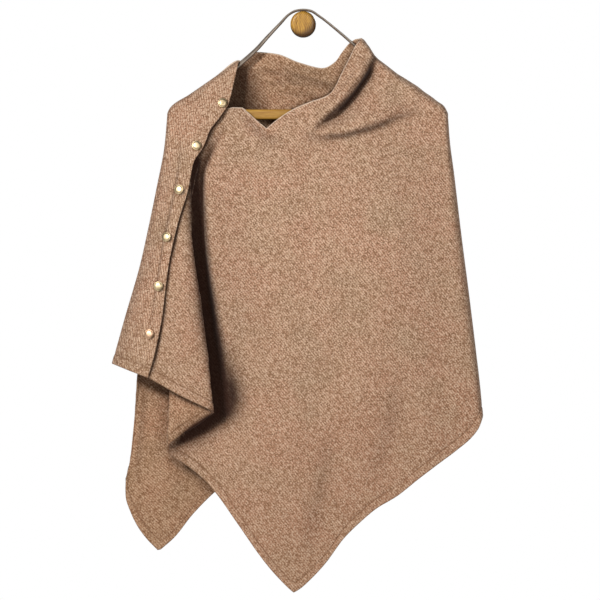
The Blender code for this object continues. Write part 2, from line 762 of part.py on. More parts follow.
def main():
    for old in list(bpy.data.objects):
        bpy.data.objects.remove(old, do_unlink=True)
    poncho = bpy.data.collections.new("poncho_on_hanger")
    bpy.context.scene.collection.children.link(poncho)
    knit = material("knit", (0.47, 0.33, 0.24), 0.9)
    wood = material("wood", (0.72, 0.48, 0.2), 0.5)
    leather = material("leather", (0.3, 0.25, 0.22), 0.6)
    gold = material("gold", (0.8, 0.66, 0.42), 0.25, 1.0)
    front_panel(poncho, knit)
    back_panel(poncho, knit)
    left_wrap(poncho, knit)
    add_buttons(poncho, gold)
    add_bar(poncho, wood)
    add_strap(poncho, leather)
    add_peg(poncho, wood)


main()
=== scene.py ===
import math

import bmesh
import bpy
import numpy as np
from mathutils import Matrix, Vector


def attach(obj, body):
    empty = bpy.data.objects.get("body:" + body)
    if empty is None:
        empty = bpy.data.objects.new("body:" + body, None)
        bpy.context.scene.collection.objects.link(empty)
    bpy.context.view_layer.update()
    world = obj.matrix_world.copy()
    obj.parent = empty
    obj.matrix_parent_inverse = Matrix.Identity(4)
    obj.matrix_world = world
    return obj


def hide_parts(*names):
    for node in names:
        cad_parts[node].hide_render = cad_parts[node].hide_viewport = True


# A knitted poncho on a strap hanger, hung over a round wooden wall peg.
# Places on the cloth are picture steps, across and down; depth is in millimetres
# out from the wall. The tables follow those that shape the plain solids, but for
# the top left corner of the back, which lies a little lower here.
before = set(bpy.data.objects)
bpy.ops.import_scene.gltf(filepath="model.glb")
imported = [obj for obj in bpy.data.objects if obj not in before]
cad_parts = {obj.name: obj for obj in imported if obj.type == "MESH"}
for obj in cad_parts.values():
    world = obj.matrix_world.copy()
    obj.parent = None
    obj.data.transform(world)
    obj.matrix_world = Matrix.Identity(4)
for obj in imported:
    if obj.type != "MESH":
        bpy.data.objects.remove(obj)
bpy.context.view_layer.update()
print("frame loaded")

step = 0.0016
pegAcross = 303.2
pegDown = 24.1

clothWall = 0.0024
seamGap = 0.0005
lap = 5.0
seamDepth = 55.0
shoulderRoll = 12.0
sideRoll = 14.0

barWidth = 0.424
barHeight = 0.016
barDepth = 0.015
barAcross = 309.0
barDown = 114.2
strapThick = 0.0042
strapWidth = 0.016
pegRadius = 0.0204
pegLength = 0.108
buttonRadius = 0.008
buttonHeight = 0.0055

# Neck edge and shoulder of the front, left to right: place along it (0 to 1) and the point.
frontTop = (
    ("place", "across", "down", "depth"),
    (0.000, 213.0, 103.5, 75),
    (0.030, 217.5, 105.0, 76),
    (0.100, 222.0, 107.0, 77),
    (0.140, 225.5, 108.0, 78),
    (0.180, 229.0, 108.0, 78),
    (0.220, 233.0, 107.2, 78),
    (0.330, 243.0, 107.6, 78),
    (0.380, 254.5, 118.0, 80),
    (0.430, 266.6, 128.4, 84),
    (0.480, 277.2, 119.3, 84),
    (0.540, 292.6, 109.4, 84),
    (0.600, 312.2, 101.0, 84),
    (0.630, 324.0, 97.0, 84),
    (0.650, 331.0, 92.5, 83),
    (0.670, 336.0, 85.0, 82),
    (0.690, 340.3, 75.8, 80),
    (0.730, 348.7, 59.0, 74),
    (0.770, 355.7, 45.0, 69),
    (0.800, 361.4, 38.3, 69),
    (0.830, 368.3, 46.0, 72),
    (0.850, 373.0, 54.0, 74),
    (0.890, 395.7, 73.0, 74),
    (0.930, 414.8, 85.6, 74),
    (0.965, 434.0, 100.0, 73),
    (0.985, 443.5, 106.8, 72),
    (1.000, 447.3, 113.0, 71),
)

# Columns of the front, from the placket to the right side. Across, down and depth are
# given at fifths of the way from neck to hem. The two folds of the pleat are named
# firstFold and secondFold, and get their roundness further down. The first two
# columns lie under the left wrap and take their depth from it.
frontAcross = (
    ("name", "place", "fifth", "twoFifths", "threeFifths", "fourFifths"),
    ("underlap", 0.00, 178, 164, 151.5, 144.5),
    ("placket", 0.03, 189, 176, 163.5, 156.5),
    ("firstFold", 0.14, 190, 191, 198.5, 206.5),
    ("secondFold", 0.22, 196, 182, 174, 170),
    ("shadow", 0.33, 203, 205, 212, 221),
    ("rise", 0.36, 207, 212, 226, 240),
    ("left", 0.43, 262, 258, 257, 254),
    ("middle", 0.56, 297, 299, 300, 298),
    ("right", 0.69, 346, 351, 355, 358),
    ("shoulder", 0.82, 376, 389, 400, 410),
    ("outer", 0.92, 413, 425, 436, 446),
    ("side", 1.00, 453.6, 461, 468.5, 475.6),
)
frontDown = (
    ("name", "fifth", "twoFifths", "threeFifths", "fourFifths"),
    ("underlap", 157, 213, 269, 324),
    ("placket", 160, 215, 270, 325),
    ("firstFold", 168, 229, 290, 350),
    ("secondFold", 172, 240, 310, 380),
    ("shadow", 180, 254, 328, 404),
    ("rise", 179, 253, 327, 405),
    ("left", 208, 287, 366, 446),
    ("middle", 206, 303, 400, 496),
    ("right", 165, 255, 344, 434),
    ("shoulder", 128, 215, 303, 391),
    ("outer", 138, 217, 296, 375),
    ("side", 174, 236, 294, 352),
)
frontDepth = (
    ("name", "fifth", "twoFifths", "threeFifths", "fourFifths", "hem"),
    ("firstFold", 90, 99, 102, 103, 102),
    ("secondFold", 80, 84, 85, 84, 84),
    ("shadow", 69, 65, 62, 64, 70),
    ("rise", 84, 86, 84, 79, 75),
    ("left", 93, 94, 93, 90, 86),
    ("middle", 98, 102, 101, 97, 92),
    ("right", 97, 103, 103, 98, 93),
    ("shoulder", 90, 95, 96, 93, 88),
    ("outer", 79, 82, 83, 81, 77),
    ("side", 70, 71, 71, 71, 70),
)
frontNeckCorners = (0.33, 0.43, 0.8)
frontTip = 0.56
backCorners = (0.07, 0.32)
foldRadius = (2.0, 5.0, 6.5, 7.5, 8.0)
foldTurns = (-90, -45, 0, 45, 90)
foldPlace = 0.018
secondFoldShare = 0.75

# Share of its height that a soft fold keeps at both ends of its run.
foldEndShare = 0.35

# Shares of a panel's height or width over which an edge line or a seam is followed.
topReach = 0.25
hemReach = 0.2
seamReach = 0.1
backSeamReach = 0.12
wrapTopReach = 0.3
settleReach = 0.12
pleatEnd = 0.27
pleatFade = 0.08
shoulderStart = 0.785
shoulderFade = 0.015
leftShoulderEnd = 0.2
leftShoulderFade = 0.02
rightShoulderStart = 0.77
rightShoulderFade = 0.03

# Hem of the front, round both folds of the pleat, down to the tip and up to the side.
frontHem = (
    ("place", "across", "down"),
    (0.000, 133.0, 372.0),
    (0.030, 147.0, 377.5),
    (0.085, 180.0, 395.5),
    (0.122, 207.5, 408.6),
    (0.131, 211.7, 410.8),
    (0.140, 213.3, 412.3),
    (0.149, 211.8, 414.2),
    (0.158, 208.0, 417.2),
    (0.169, 200.3, 423.5),
    (0.191, 182.7, 434.2),
    (0.202, 172.6, 441.6),
    (0.211, 169.4, 444.6),
    (0.220, 168.3, 449.2),
    (0.229, 169.2, 453.4),
    (0.238, 172.0, 456.2),
    (0.275, 183.7, 463.6),
    (0.330, 203.0, 479.0),
    (0.360, 214.3, 491.3),
    (0.430, 239.0, 525.7),
    (0.500, 267.8, 565.9),
    (0.545, 287.5, 587.2),
    (0.560, 293.7, 592.7),
    (0.575, 300.5, 588.4),
    (0.600, 311.5, 578.4),
    (0.630, 325.5, 563.3),
    (0.660, 344.0, 538.2),
    (0.690, 359.3, 523.0),
    (0.730, 376.5, 508.5),
    (0.780, 396.5, 496.5),
    (0.820, 418.6, 479.0),
    (0.870, 437.7, 464.5),
    (0.920, 456.5, 450.5),
    (0.955, 472.0, 437.3),
    (0.975, 479.4, 427.0),
    (1.000, 482.3, 416.7),
)

# Soft folds raised on the front (height over 0) or pressed in (under 0), as runs of
# straight pieces: points across and down, height in millimetres, and half width in
# steps on the left and on the right of the run, as seen by someone walking along it.
frontFolds = (
    ("name", "across", "down", "height", "left", "right"),
    ("collar band", (368, 358, 346, 330, 309), (52, 73, 91, 109, 124), 10, 8, 5),
    ("collar valley", (379, 367, 354, 338, 320), (57, 79, 98, 115, 127), -16, 12, 5),
    ("second drape", (306, 330, 358, 386, 410), (136, 132, 125, 115, 104), 8, 10, 6),
    ("second valley", (298, 326, 356, 388, 418), (146, 144, 137, 127, 115), -6, 7, 12),
    ("left neck fold", (240, 252, 262), (118, 132, 150), 4, 9, 9),
    ("long trough", (338, 325, 318, 311), (340, 395, 440, 490), -5, 20, 20),
    ("right drag", (400, 392, 378), (170, 240, 330), 3, 26, 26),
    ("left drag", (264, 264, 258), (200, 300, 400), 3, 20, 20),
    ("hem lift", (240, 262, 282), (470, 515, 560), 3, 14, 14),
)

# Fold line down the right side, where front and back meet.
rightSeam = (
    ("height", "across", "down"),
    (0.00, 447.3, 113.0),
    (0.08, 449.2, 139.7),
    (0.20, 453.6, 174.0),
    (0.40, 461.0, 236.0),
    (0.60, 468.5, 294.0),
    (0.80, 475.6, 352.0),
    (0.92, 480.2, 392.0),
    (1.00, 482.3, 416.7),
)

backTop = (
    ("place", "across", "down", "depth"),
    (0.000, 168.0, 113.0, 55),
    (0.015, 170.5, 108.0, 55),
    (0.060, 190.0, 94.6, 55),
    (0.120, 215.0, 77.3, 55),
    (0.180, 238.6, 60.8, 55),
    (0.200, 243.0, 61.0, 43),
    (0.240, 255.5, 51.5, 41),
    (0.300, 275.8, 53.3, 41),
    (0.400, 298.2, 61.7, 40),
    (0.500, 322.0, 67.6, 40),
    (0.600, 335.0, 61.5, 40),
    (0.680, 343.0, 50.5, 41),
    (0.730, 350.8, 41.6, 43),
    (0.770, 357.0, 38.4, 47),
    (0.800, 361.4, 38.3, 55),
    (0.830, 368.3, 46.0, 55),
    (0.850, 373.0, 54.0, 55),
    (0.890, 395.7, 73.0, 55),
    (0.930, 414.8, 85.6, 55),
    (0.965, 434.0, 100.0, 55),
    (0.985, 443.5, 106.8, 55),
    (1.000, 447.3, 113.0, 55),
)
backHem = (
    ("place", "across", "down", "depth"),
    (0.000, 112.5, 364.0, 44),
    (0.030, 121.0, 366.5, 40),
    (0.070, 137.5, 371.0, 34),
    (0.110, 134.0, 418.0, 30),
    (0.150, 129.4, 462.0, 30),
    (0.185, 125.0, 486.5, 31),
    (0.200, 125.2, 496.0, 31),
    (0.230, 130.2, 512.5, 32),
    (0.265, 138.0, 528.0, 34),
    (0.290, 145.6, 538.4, 35),
    (0.320, 158.5, 551.7, 36),
    (0.370, 175.0, 537.0, 36),
    (0.420, 192.0, 515.5, 34),
    (0.480, 217.0, 490.5, 32),
    (0.600, 268.0, 455.0, 31),
    (0.720, 330.0, 436.0, 32),
    (0.840, 395.0, 426.0, 34),
    (0.920, 440.0, 420.0, 38),
    (1.000, 482.3, 416.7, 42),
)
backBelly = (44, 38, 34, 31, 30, 31, 32)
backNearest = 42.5
backFolds = (
    ("name", "across", "down", "height", "left", "right"),
    ("neck fold", (262, 292, 322, 336), (66, 76, 84, 84), 4, 7, 7),
    ("left long fold", (178, 160, 146, 138), (200, 300, 400, 470), -5, 12, 12),
    ("left edge roll", (136, 131, 127), (395, 440, 480), -6, 9, 9),
    ("middle trough", (160, 166, 172), (400, 450, 500), 5, 12, 12),
    ("centre fold", (290, 280, 268), (150, 270, 400), -5, 22, 22),
    ("right fold", (380, 392, 402), (130, 250, 380), -4, 20, 20),
)

wrapTop = (
    ("place", "across", "down", "depth"),
    (0.00, 168.0, 113.0, 55),
    (0.06, 170.5, 108.0, 55),
    (0.35, 190.0, 94.6, 55),
    (0.70, 215.0, 77.3, 55),
    (1.00, 238.6, 60.8, 55),
)
# Fold line down the left side, where back and left wrap meet.
leftSeam = (
    ("height", "across", "down"),
    (0.00, 168.0, 113.0),
    (0.12, 165.0, 146.0),
    (0.27, 157.5, 186.0),
    (0.43, 148.9, 227.7),
    (0.58, 140.8, 264.0),
    (0.80, 125.0, 319.0),
    (1.00, 112.5, 364.0),
)
wrapLeftDepth = 71.0
wrapEdge = (
    ("height", "across", "down", "depth"),
    (0.00, 238.6, 60.8, 69),
    (0.06, 234.0, 82.0, 77),
    (0.14, 228.4, 104.0, 84),
    (0.19, 220.5, 116.5, 88),
    (0.24, 210.5, 129.5, 92),
    (0.29, 204.0, 146.0, 96),
    (0.35, 193.8, 162.5, 99),
    (0.43, 188.4, 189.4, 104),
    (0.55, 177.9, 224.0, 109),
    (0.68, 168.4, 268.0, 112),
    (0.84, 161.7, 321.0, 114),
    (0.93, 155.0, 353.6, 114),
    (1.00, 148.0, 378.0, 113),
)
wrapBelly = 9.0
wrapFolds = (
    ("name", "across", "down", "height", "left", "right"),
    ("underlap ridge", (196, 176, 158, 148, 140), (150, 205, 268, 320, 360), 1.5, 6, 6),
    ("shoulder drag", (206, 186, 168), (100, 140, 200), 2.5, 10, 10),
    ("lower drag", (158, 146, 134), (220, 280, 340), 2, 10, 10),
)

buttons = (
    ("name", "across", "down"),
    ("button1", 222.6, 103.6),
    ("button2", 196.4, 146.0),
    ("button3", 179.6, 189.8),
    ("button4", 167.4, 237.6),
    ("button5", 158.9, 286.4),
    ("button6", 150.2, 333.0),
)

# Middle line of the strap from the bar's left end over the peg to its right end.
strapLine = (
    ("across", "down"),
    (184.0, 108.0),
    (209.0, 90.0),
    (238.0, 65.5),
    (256.1, 49.4),
    (267.3, 37.0),
    (280.0, 23.5),
    (289.8, 13.6),
    (296.5, 10.4),
    (303.2, 9.6),
    (309.9, 10.4),
    (319.3, 16.0),
    (340.3, 32.6),
    (350.8, 41.6),
    (380.0, 66.6),
    (408.0, 90.4),
    (428.0, 106.8),
)


def column(table, name):
    # One named column of a table, as numbers.
    index = table[0].index(name)
    return np.array([row[index] for row in table[1:]], float)


def smooth(places, values, wanted):
    # A curve through the values that never swings past them.
    x = np.asarray(places, float)
    y = np.asarray(values, float)
    w = np.clip(np.asarray(wanted, float), x[0], x[-1])
    step = np.diff(x).reshape((-1,) + (1,) * (y.ndim - 1))
    slope = np.diff(y, axis=0) / step
    left = slope[:-1]
    right = slope[1:]
    near = step[:-1]
    far = step[1:]
    first = 2 * far + near
    second = far + 2 * near
    same = left * right > 0
    safeLeft = np.where(same, left, 1.0)
    safeRight = np.where(same, right, 1.0)
    inner = np.where(same, (first + second) / (first / safeLeft + second / safeRight), 0.0)
    lean = np.concatenate([slope[:1], inner, slope[-1:]])
    k = np.clip(np.searchsorted(x, w, side="right") - 1, 0, len(x) - 2)
    h = (x[k + 1] - x[k]).reshape((-1,) + (1,) * (y.ndim - 1))
    t = ((w - x[k]) / (x[k + 1] - x[k])).reshape(h.shape)
    a = (1 + 2 * t) * (1 - t) ** 2
    b = t * (1 - t) ** 2
    c = t * t * (3 - 2 * t)
    d = t * t * (t - 1)
    return a * y[k] + b * h * lean[k] + c * y[k + 1] + d * h * lean[k + 1]


def edge(table, wanted, corners=()):
    # Points of an edge table at the wanted places, with a sharp turn at each corner.
    places = column(table, table[0][0])
    values = np.stack([column(table, name) for name in table[0][1:]], axis=1)
    return cornered(places, values, np.asarray(wanted, float), corners)


def cornered(places, values, wanted, corners):
    # A smooth curve through the values, broken at the corners.
    result = np.zeros((len(wanted), values.shape[1]))
    ends = [places[0], *sorted(corners), places[-1]]
    for first, last in zip(ends, ends[1:]):
        inside = (places >= first) & (places <= last)
        here = (wanted >= first) & (wanted <= last)
        result[here] = smooth(places[inside], values[inside], wanted[here])
    return result


def seam(table, heights):
    # Across and down of a side seam at the wanted heights.
    values = np.stack([column(table, "across"), column(table, "down")], axis=1)
    return smooth(column(table, "height"), values, heights)


def metres(points):
    # Points across, down and out from the wall, as x, y and z in metres.
    x = (points[..., 0] - pegAcross) * step
    y = -points[..., 2] / 1000
    z = (pegDown - points[..., 1]) * step
    return np.stack([x, y, z], axis=-1)


def raised(points, folds):
    # Height in millimetres that the table of soft folds gives at each point.
    total = np.zeros(points.shape[:-1])
    for row in folds[1:]:
        fold = dict(zip(folds[0], row))
        line = np.stack([fold["across"], fold["down"]], axis=1).astype(float)
        nearest = np.full(points.shape[:-1], 1e9)
        along = np.zeros(points.shape[:-1])
        width = np.zeros(points.shape[:-1])
        for k in range(len(line) - 1):
            run = line[k + 1] - line[k]
            rest = points[..., :2] - line[k]
            t = np.clip((rest @ run) / (run @ run), 0, 1)
            apart = np.linalg.norm(rest - t[..., None] * run, axis=-1)
            closer = apart < nearest
            onLeft = run[0] * rest[..., 1] - run[1] * rest[..., 0] < 0
            width = np.where(closer, np.where(onLeft, fold["left"], fold["right"]), width)
            nearest = np.where(closer, apart, nearest)
            along = np.where(closer, (k + t) / (len(line) - 1), along)
        fade = np.clip(np.minimum(along, 1 - along) * 4, 0, 1)
        fade = foldEndShare + (1 - foldEndShare) * fade * fade * (3 - 2 * fade)
        total += fold["height"] * fade * np.exp(-((nearest / width) ** 2))
    return total


def rolled(depth, distance, radius, side):
    # Depth turned round towards the seam where the cloth is near its fold line.
    turn = np.clip(distance / radius, 0, 1)
    share = np.sqrt(1 - (1 - turn) ** 2)
    meeting = seamDepth + side * seamGap * 1000 / 2
    return meeting + (depth - meeting) * share


def alongRows(points):
    # Distance in millimetres of each point from the start of its row.
    gap = np.linalg.norm(np.diff(points[..., :2], axis=1), axis=-1) * step * 1000
    return np.concatenate([np.zeros((len(points), 1)), np.cumsum(gap, axis=1)], axis=1)


def depthUnderWrap(across, down):
    # Depth that lies one lap behind the left wrap, at each place.
    grid = wrapSurface(np.linspace(0.2, 1, 33), np.linspace(0, 1, 81))
    depths = []
    for x, z in zip(across, down):
        far = np.hypot(grid[..., 0] - x, grid[..., 1] - z)
        depths.append(grid[..., 2].flat[np.argmin(far)] - lap)
    return depths


def frontStations():
    # Places and control points of the front's columns, with round pleat folds.
    acrossRows = {row[0]: row[2:] for row in frontAcross[1:]}
    downRows = {row[0]: row[1:] for row in frontDown[1:]}
    depthRows = {row[0]: row[1:] for row in frontDepth[1:]}
    places = []
    lines = []
    for name, place in ((row[0], row[1]) for row in frontAcross[1:]):
        hem = edge(frontHem, [place])[0]
        across = np.array([*acrossRows[name], hem[0]])
        down = np.array([*downRows[name], hem[1]])
        depth = depthRows.get(name) or depthUnderWrap(across, down)
        line = np.stack([across, down, depth], axis=1).astype(float)
        if not name.endswith("Fold"):
            places.append(place)
            lines.append(line)
            continue
        side = 1 if name == "firstFold" else -1
        radius = np.array(foldRadius) * (1.0 if side > 0 else secondFoldShare)
        for turn in foldTurns:
            angle = math.radians(turn)
            bent = line.copy()
            bent[:, 0] += side * radius * (math.cos(angle) - 1) / (step * 1000)
            bent[:, 2] -= radius * math.sin(angle)
            places.append(place + turn / 90 * foldPlace)
            lines.append(bent)
    net = np.stack(lines, axis=1)
    net[-1, :, :2] = edge(frontHem, places, (frontTip,))
    return np.array(places), net


def nearEnd(distance, reach):
    # One at an end of a panel, falling softly to nothing at the reach.
    return np.clip(1 - distance / reach, 0, 1) ** 2


def frontSurface(places, heights):
    # Grid of points on the middle of the front's wall: rows go from neck to hem.
    stations, net = frontStations()
    net = np.concatenate([edge(frontTop, stations, frontNeckCorners)[None], net])
    levels = np.linspace(0, 1, len(net))
    byHeight = smooth(levels, net, heights)
    grid = smooth(stations, byHeight.transpose(1, 0, 2), places).transpose(1, 0, 2)
    top = edge(frontTop, places, frontNeckCorners)
    hem = edge(frontHem, places, (frontTip,))
    nearTop = nearEnd(heights, topReach)[:, None, None]
    nearHem = nearEnd(1 - heights, hemReach)[:, None, None]
    grid += nearTop * (top - smooth(stations, net[0], places))
    grid[..., :2] += nearHem * (hem - smooth(stations, net[-1, :, :2], places))
    toSeam = seam(rightSeam, heights)[:, None] - grid[:, -1:, :2]
    beside = np.clip(1 - (1 - places) / seamReach, 0, 1)[None, :, None]
    grid[..., :2] += toSeam * beside
    main = np.clip((places - pleatEnd) / pleatFade, 0, 1)[None]
    grid[..., 2] += raised(grid, frontFolds) * main
    onShoulder = np.clip((places - shoulderStart) / shoulderFade, 0, 1)
    drop = (grid[..., 1] - top[None, :, 1]) * step * 1000
    shoulder = rolled(grid[..., 2], drop, shoulderRoll, 1)
    grid[..., 2] = grid[..., 2] * (1 - onShoulder) + shoulder * onShoulder
    fromSide = alongRows(grid[:, ::-1])[:, ::-1]
    side = rolled(grid[..., 2], fromSide, sideRoll, 1)
    grid[..., 2] = np.where(places[None] > frontTip, side, grid[..., 2])
    return grid


def backSurface(places, heights):
    # Grid of points on the middle of the back's wall.
    top = edge(backTop, places)
    hem = edge(backHem, places, backCorners)
    h = heights[:, None, None]
    grid = top[None] * (1 - h) + hem[None] * h
    left = seam(leftSeam, heights)[:, None] - grid[:, :1, :2]
    right = seam(rightSeam, heights)[:, None] - grid[:, -1:, :2]
    grid[..., :2] += left * nearEnd(places, backSeamReach)[None, :, None]
    grid[..., :2] += right * nearEnd(1 - places, backSeamReach)[None, :, None]
    middle = smooth(np.linspace(0, 1, len(backBelly)), backBelly, heights)
    settle = np.clip(heights / settleReach, 0, 1)[:, None]
    hang = np.minimum(top[None, :, 2], backNearest) * (1 - settle) + middle[:, None] * settle
    late = nearEnd(1 - heights, 0.5)[:, None]
    grid[..., 2] = hang * (1 - late) + hem[None, :, 2] * late
    grid[..., 2] += raised(grid, backFolds)
    grid[..., 2] = np.minimum(grid[..., 2], backNearest)
    drop = (grid[..., 1] - top[None, :, 1]) * step * 1000
    overLeft = np.clip((leftShoulderEnd - places) / leftShoulderFade, 0, 1)
    overRight = np.clip((places - rightShoulderStart) / rightShoulderFade, 0, 1)
    over = np.maximum(overLeft, overRight)
    shoulder = rolled(grid[..., 2], drop, shoulderRoll, -1)
    grid[..., 2] = grid[..., 2] * (1 - over) + shoulder * over
    fromLeft = alongRows(grid)
    fromRight = alongRows(grid[:, ::-1])[:, ::-1]
    grid[..., 2] = rolled(grid[..., 2], np.minimum(fromLeft, fromRight), sideRoll, -1)
    return grid


def wrapSurface(places, heights):
    # Grid of points on the middle of the left wrap's wall.
    top = edge(wrapTop, places)[None]
    left = seam(leftSeam, heights)
    left = np.concatenate([left, np.full((len(left), 1), wrapLeftDepth)], axis=1)[:, None]
    right = edge(wrapEdge, heights)[:, None]
    p = places[None, :, None]
    plain = top[:, :1] * (1 - p) + top[:, -1:] * p
    grid = left * (1 - p) + right * p
    fade = nearEnd(heights, wrapTopReach)[:, None, None]
    grid[..., :2] += (fade * (top - plain))[..., :2]
    belly = np.sin(math.pi * places)[None] * np.clip(heights / settleReach, 0, 1)[:, None]
    grid[..., 2] += wrapBelly * belly + raised(grid, wrapFolds)
    drop = (grid[..., 1] - top[..., 1]) * step * 1000
    grid[..., 2] = rolled(grid[..., 2], drop, shoulderRoll, 1)
    grid[..., 2] = rolled(grid[..., 2], alongRows(grid), sideRoll, 1)
    return grid


# What differs between the three cloth shells.
clothFront = {
    "name": "clothFront",
    "node": "front",
    "surface": frontSurface,
    "places": 620,
    "heights": 520,
    "columns": 200,
    "rows": 178,
    "edges": {"top": "neck", "end": "hem", "start": "plain", "far": "seam"},
    "grain": 50.0,
    "seed": 11,
    "flat": (0.52, 0.94),
    # Strength of the painted shade below the bar, then above it.
    "paintedShadow": 1.0,
    "neckPaintedShadow": 1.0,
    "creases": (
        ("name", "across", "down", "height", "left", "right"),
        ("neck crease", (246, 262, 275), (122, 134, 142), -0.9, 2.5, 2.5),
        ("valley crease", (375, 367, 354, 337, 319), (55, 75, 93, 110, 125), -5.5, 5.0, 2.4),
        ("collar ridge", (365, 355, 343, 328, 308), (52, 72, 90, 106, 120), 1.6, 3.0, 4.0),
        ("drape crease", (312, 345, 372, 402), (137, 135, 128, 116), -2.4, 1.8, 4.5),
        ("upper pleat", (176, 186, 200), (428, 424, 420), -1.2, 2.0, 2.0),
        ("tip drag", (330, 320, 306), (430, 490, 548), -0.7, 9.0, 9.0),
        ("hem drag", (398, 388, 372), (380, 430, 480), -0.6, 10.0, 10.0),
    ),
    # Painted shade along listed runs: height is how dark, 0 to 1.
    "paintedShades": (
        ("name", "across", "down", "height", "left", "right"),
        (
            "pleat foot", (222, 229, 233, 229, 214, 190, 174), (350, 378, 398, 411, 422, 437, 448),
            0.97, 11, 11,
        ),
        ("pleat edge", (214, 200, 186, 173), (414, 424, 434, 447), 0.9, 5, 3),
        (
            "drape shade", (306, 327, 345, 365, 385, 402, 418), (131, 137, 134, 128, 121.5, 115, 110),
            0.4, 1.6, 6,
        ),
        ("left neck shade", (243, 256, 268, 282), (113, 127, 136, 140), 0.3, 3, 8),
        ("collar shade", (375, 367, 356, 343, 329), (57, 73, 90, 105, 118), 1.15, 6.5, 2.2),
        (
            "pleat shade", (203, 197, 194, 198, 203, 209, 215), (140, 158, 180, 220, 270, 330, 370),
            1.2, 7, 10,
        ),
        ("side of pleat", (222, 226, 236, 250), (170, 230, 300, 370), 0.08, 26, 26),
    ),
    "area": 0.383,
}
clothBack = {
    "name": "clothBack",
    "node": "back",
    "surface": backSurface,
    "places": 420,
    "heights": 420,
    "columns": 150,
    "rows": 140,
    "edges": {"top": "neck", "end": "hem", "start": "seam", "far": "seam"},
    "grain": 44.0,
    "seed": 23,
    "flat": (0.52, 0.9),
    # Strength of the painted shade below the bar, then above it.
    "paintedShadow": 0.35,
    "neckPaintedShadow": 0.8,
    "creases": (
        ("name", "across", "down", "height", "left", "right"),
        ("neck line", (258, 288, 314, 336), (83, 81, 84, 89), -1.3, 1.8, 3.0),
        ("upper neck line", (268, 298, 330), (61, 69, 76), -0.8, 2.0, 3.0),
        ("side drag", (146, 141, 136), (385, 430, 478), -0.9, 4.0, 4.0),
        ("left hang", (236, 230, 226, 224), (150, 240, 330, 400), 2.6, 7.0, 12.0),
        ("middle hang", (318, 322, 316), (170, 300, 420), 2.2, 12.0, 7.0),
        ("right hang", (404, 412, 414), (150, 260, 360), 2.4, 12.0, 6.0),
        ("shoulder blades", (240, 300, 360), (132, 140, 132), -1.6, 5.0, 9.0),
    ),
    # Painted shade along listed runs: height is how dark, 0 to 1.
    "paintedShades": (
        ("name", "across", "down", "height", "left", "right"),
        ("neck shade", (254, 276, 300, 322, 340), (67, 71, 76, 82, 86), 0.42, 2.2, 5),
        ("lower neck shade", (280, 302, 326), (90, 93, 96), 0.28, 2, 4),
        ("corner shade", (238, 244, 252), (70, 84, 100), 0.6, 7, 7),
    ),
    "area": 0.341,
}
clothWrap = {
    "name": "clothWrap",
    "node": "left_wrap",
    "surface": wrapSurface,
    "places": 160,
    "heights": 420,
    "columns": 46,
    "rows": 150,
    "edges": {"top": "seam", "end": "hem", "start": "seam", "far": "placket"},
    "grain": 84.0,
    "seed": 37,
    "flat": (0.11, 0.5),
    # Strength of the painted shade below the bar, then above it.
    "paintedShadow": 0.7,
    "neckPaintedShadow": 0.7,
    "creases": (
        ("name", "across", "down", "height", "left", "right"),
        ("lap line", (181, 178, 170, 163.5, 157, 150), (146, 175, 213, 243, 285, 330), -1.5, 1.5, 1.5),
        ("shoulder line", (206, 196, 186), (88, 98, 106), -0.7, 2.0, 2.0),
    ),
    "area": 0.042,
}
# Turned hem: the band's height, what it adds to the wall, and the stitch line above it.
hemShape = {
    "band": 0.0158,
    "bandFade": 0.0005,
    "extra": 0.0012,
    "groove": 0.0012,
    "grooveWidth": 0.0013,
    "round": 0.0014,
    "thinnest": 0.004,
}
# Finished edge of the neck and the placket: a bead, and a pressed line behind it.
rimShape = {
    "bead": 0.0007,
    "beadAt": 0.0015,
    "beadWidth": 0.0016,
    "line": 0.0003,
    "lineAt": 0.0075,
    "lineWidth": 0.0009,
}
# The knit's unevenness: length and height of two waves, which end at the side seams.
waveShape = {
    "long": (0.13, 0.0006),
    "short": (0.035, 0.00022),
    "seedGap": 5,
    "seamReach": 0.02,
}
# Distances from an edge, in metres, at which the cloth is cut into rows and columns.
edgeMarks = {
    "hem": (
        0, 0.0001, 0.0004, 0.0009, 0.0016, 0.003, 0.006, 0.0095, 0.0125, 0.0146, 0.0158, 0.017, 0.019,
    ),
    "neck": (0, 0.0001, 0.0004, 0.0009, 0.0016, 0.003, 0.0055, 0.0075, 0.0095),
    "placket": (0, 0.0001, 0.0004, 0.0009, 0.0016, 0.003, 0.0055, 0.0075, 0.0095),
    "plain": (0, 0.0001, 0.0004, 0.0009, 0.0016),
    "seam": (0, 0.0006, 0.0016, 0.003, 0.005, 0.0075, 0.0105, 0.014),
}
noEdgeNear = 0.1
rollReach = 0.07
nearEdgeShare = 0.3


clothSpecs = (clothFront, clothBack, clothWrap)
recessShadeLook = {
    "cells": 600,
    "morePlaces": 150,
    "heights": 640,
    "soft": 2,
    "start": 8.0,
    "full": 18.0,
    "creaseFull": 3.5,
    "creaseDark": 0.8,
    "line": 2.9,
    "wrapShadowDark": 0.95,
}
# How far the painted shadow beside a higher layer goes, in picture steps, and how fast it ends.
paintedShadow = (
    {"across": 1.0, "down": 0.3, "reach": 40, "fall": 0.75},
    {"across": 0.3, "down": 1.0, "reach": 9, "fall": 1.6},
)


def withPaintedShadow(picture):
    # Each higher layer raises the picture to its right and a little below it, where its painted shadow falls.
    best = picture.copy()
    for way in paintedShadow:
        for far in range(1, way["reach"] + 1):
            shift = (round(way["down"] * far), round(way["across"] * far))
            best = np.maximum(best, np.roll(picture, shift, (0, 1)) - way["fall"] * far)
    return best


def softened(picture, reach):
    for axis in (0, 1):
        total = np.zeros_like(picture)
        for shift in range(-reach, reach + 1):
            total += np.roll(picture, shift, axis)
        picture = total / (2 * reach + 1)
    return picture


def pictureCells(grid):
    # Row and column of the picture step that each point falls in.
    last = recessShadeLook["cells"] - 1
    across = np.clip(grid[..., 0].round().astype(int), 0, last)
    down = np.clip(grid[..., 1].round().astype(int), 0, last)
    return down, across


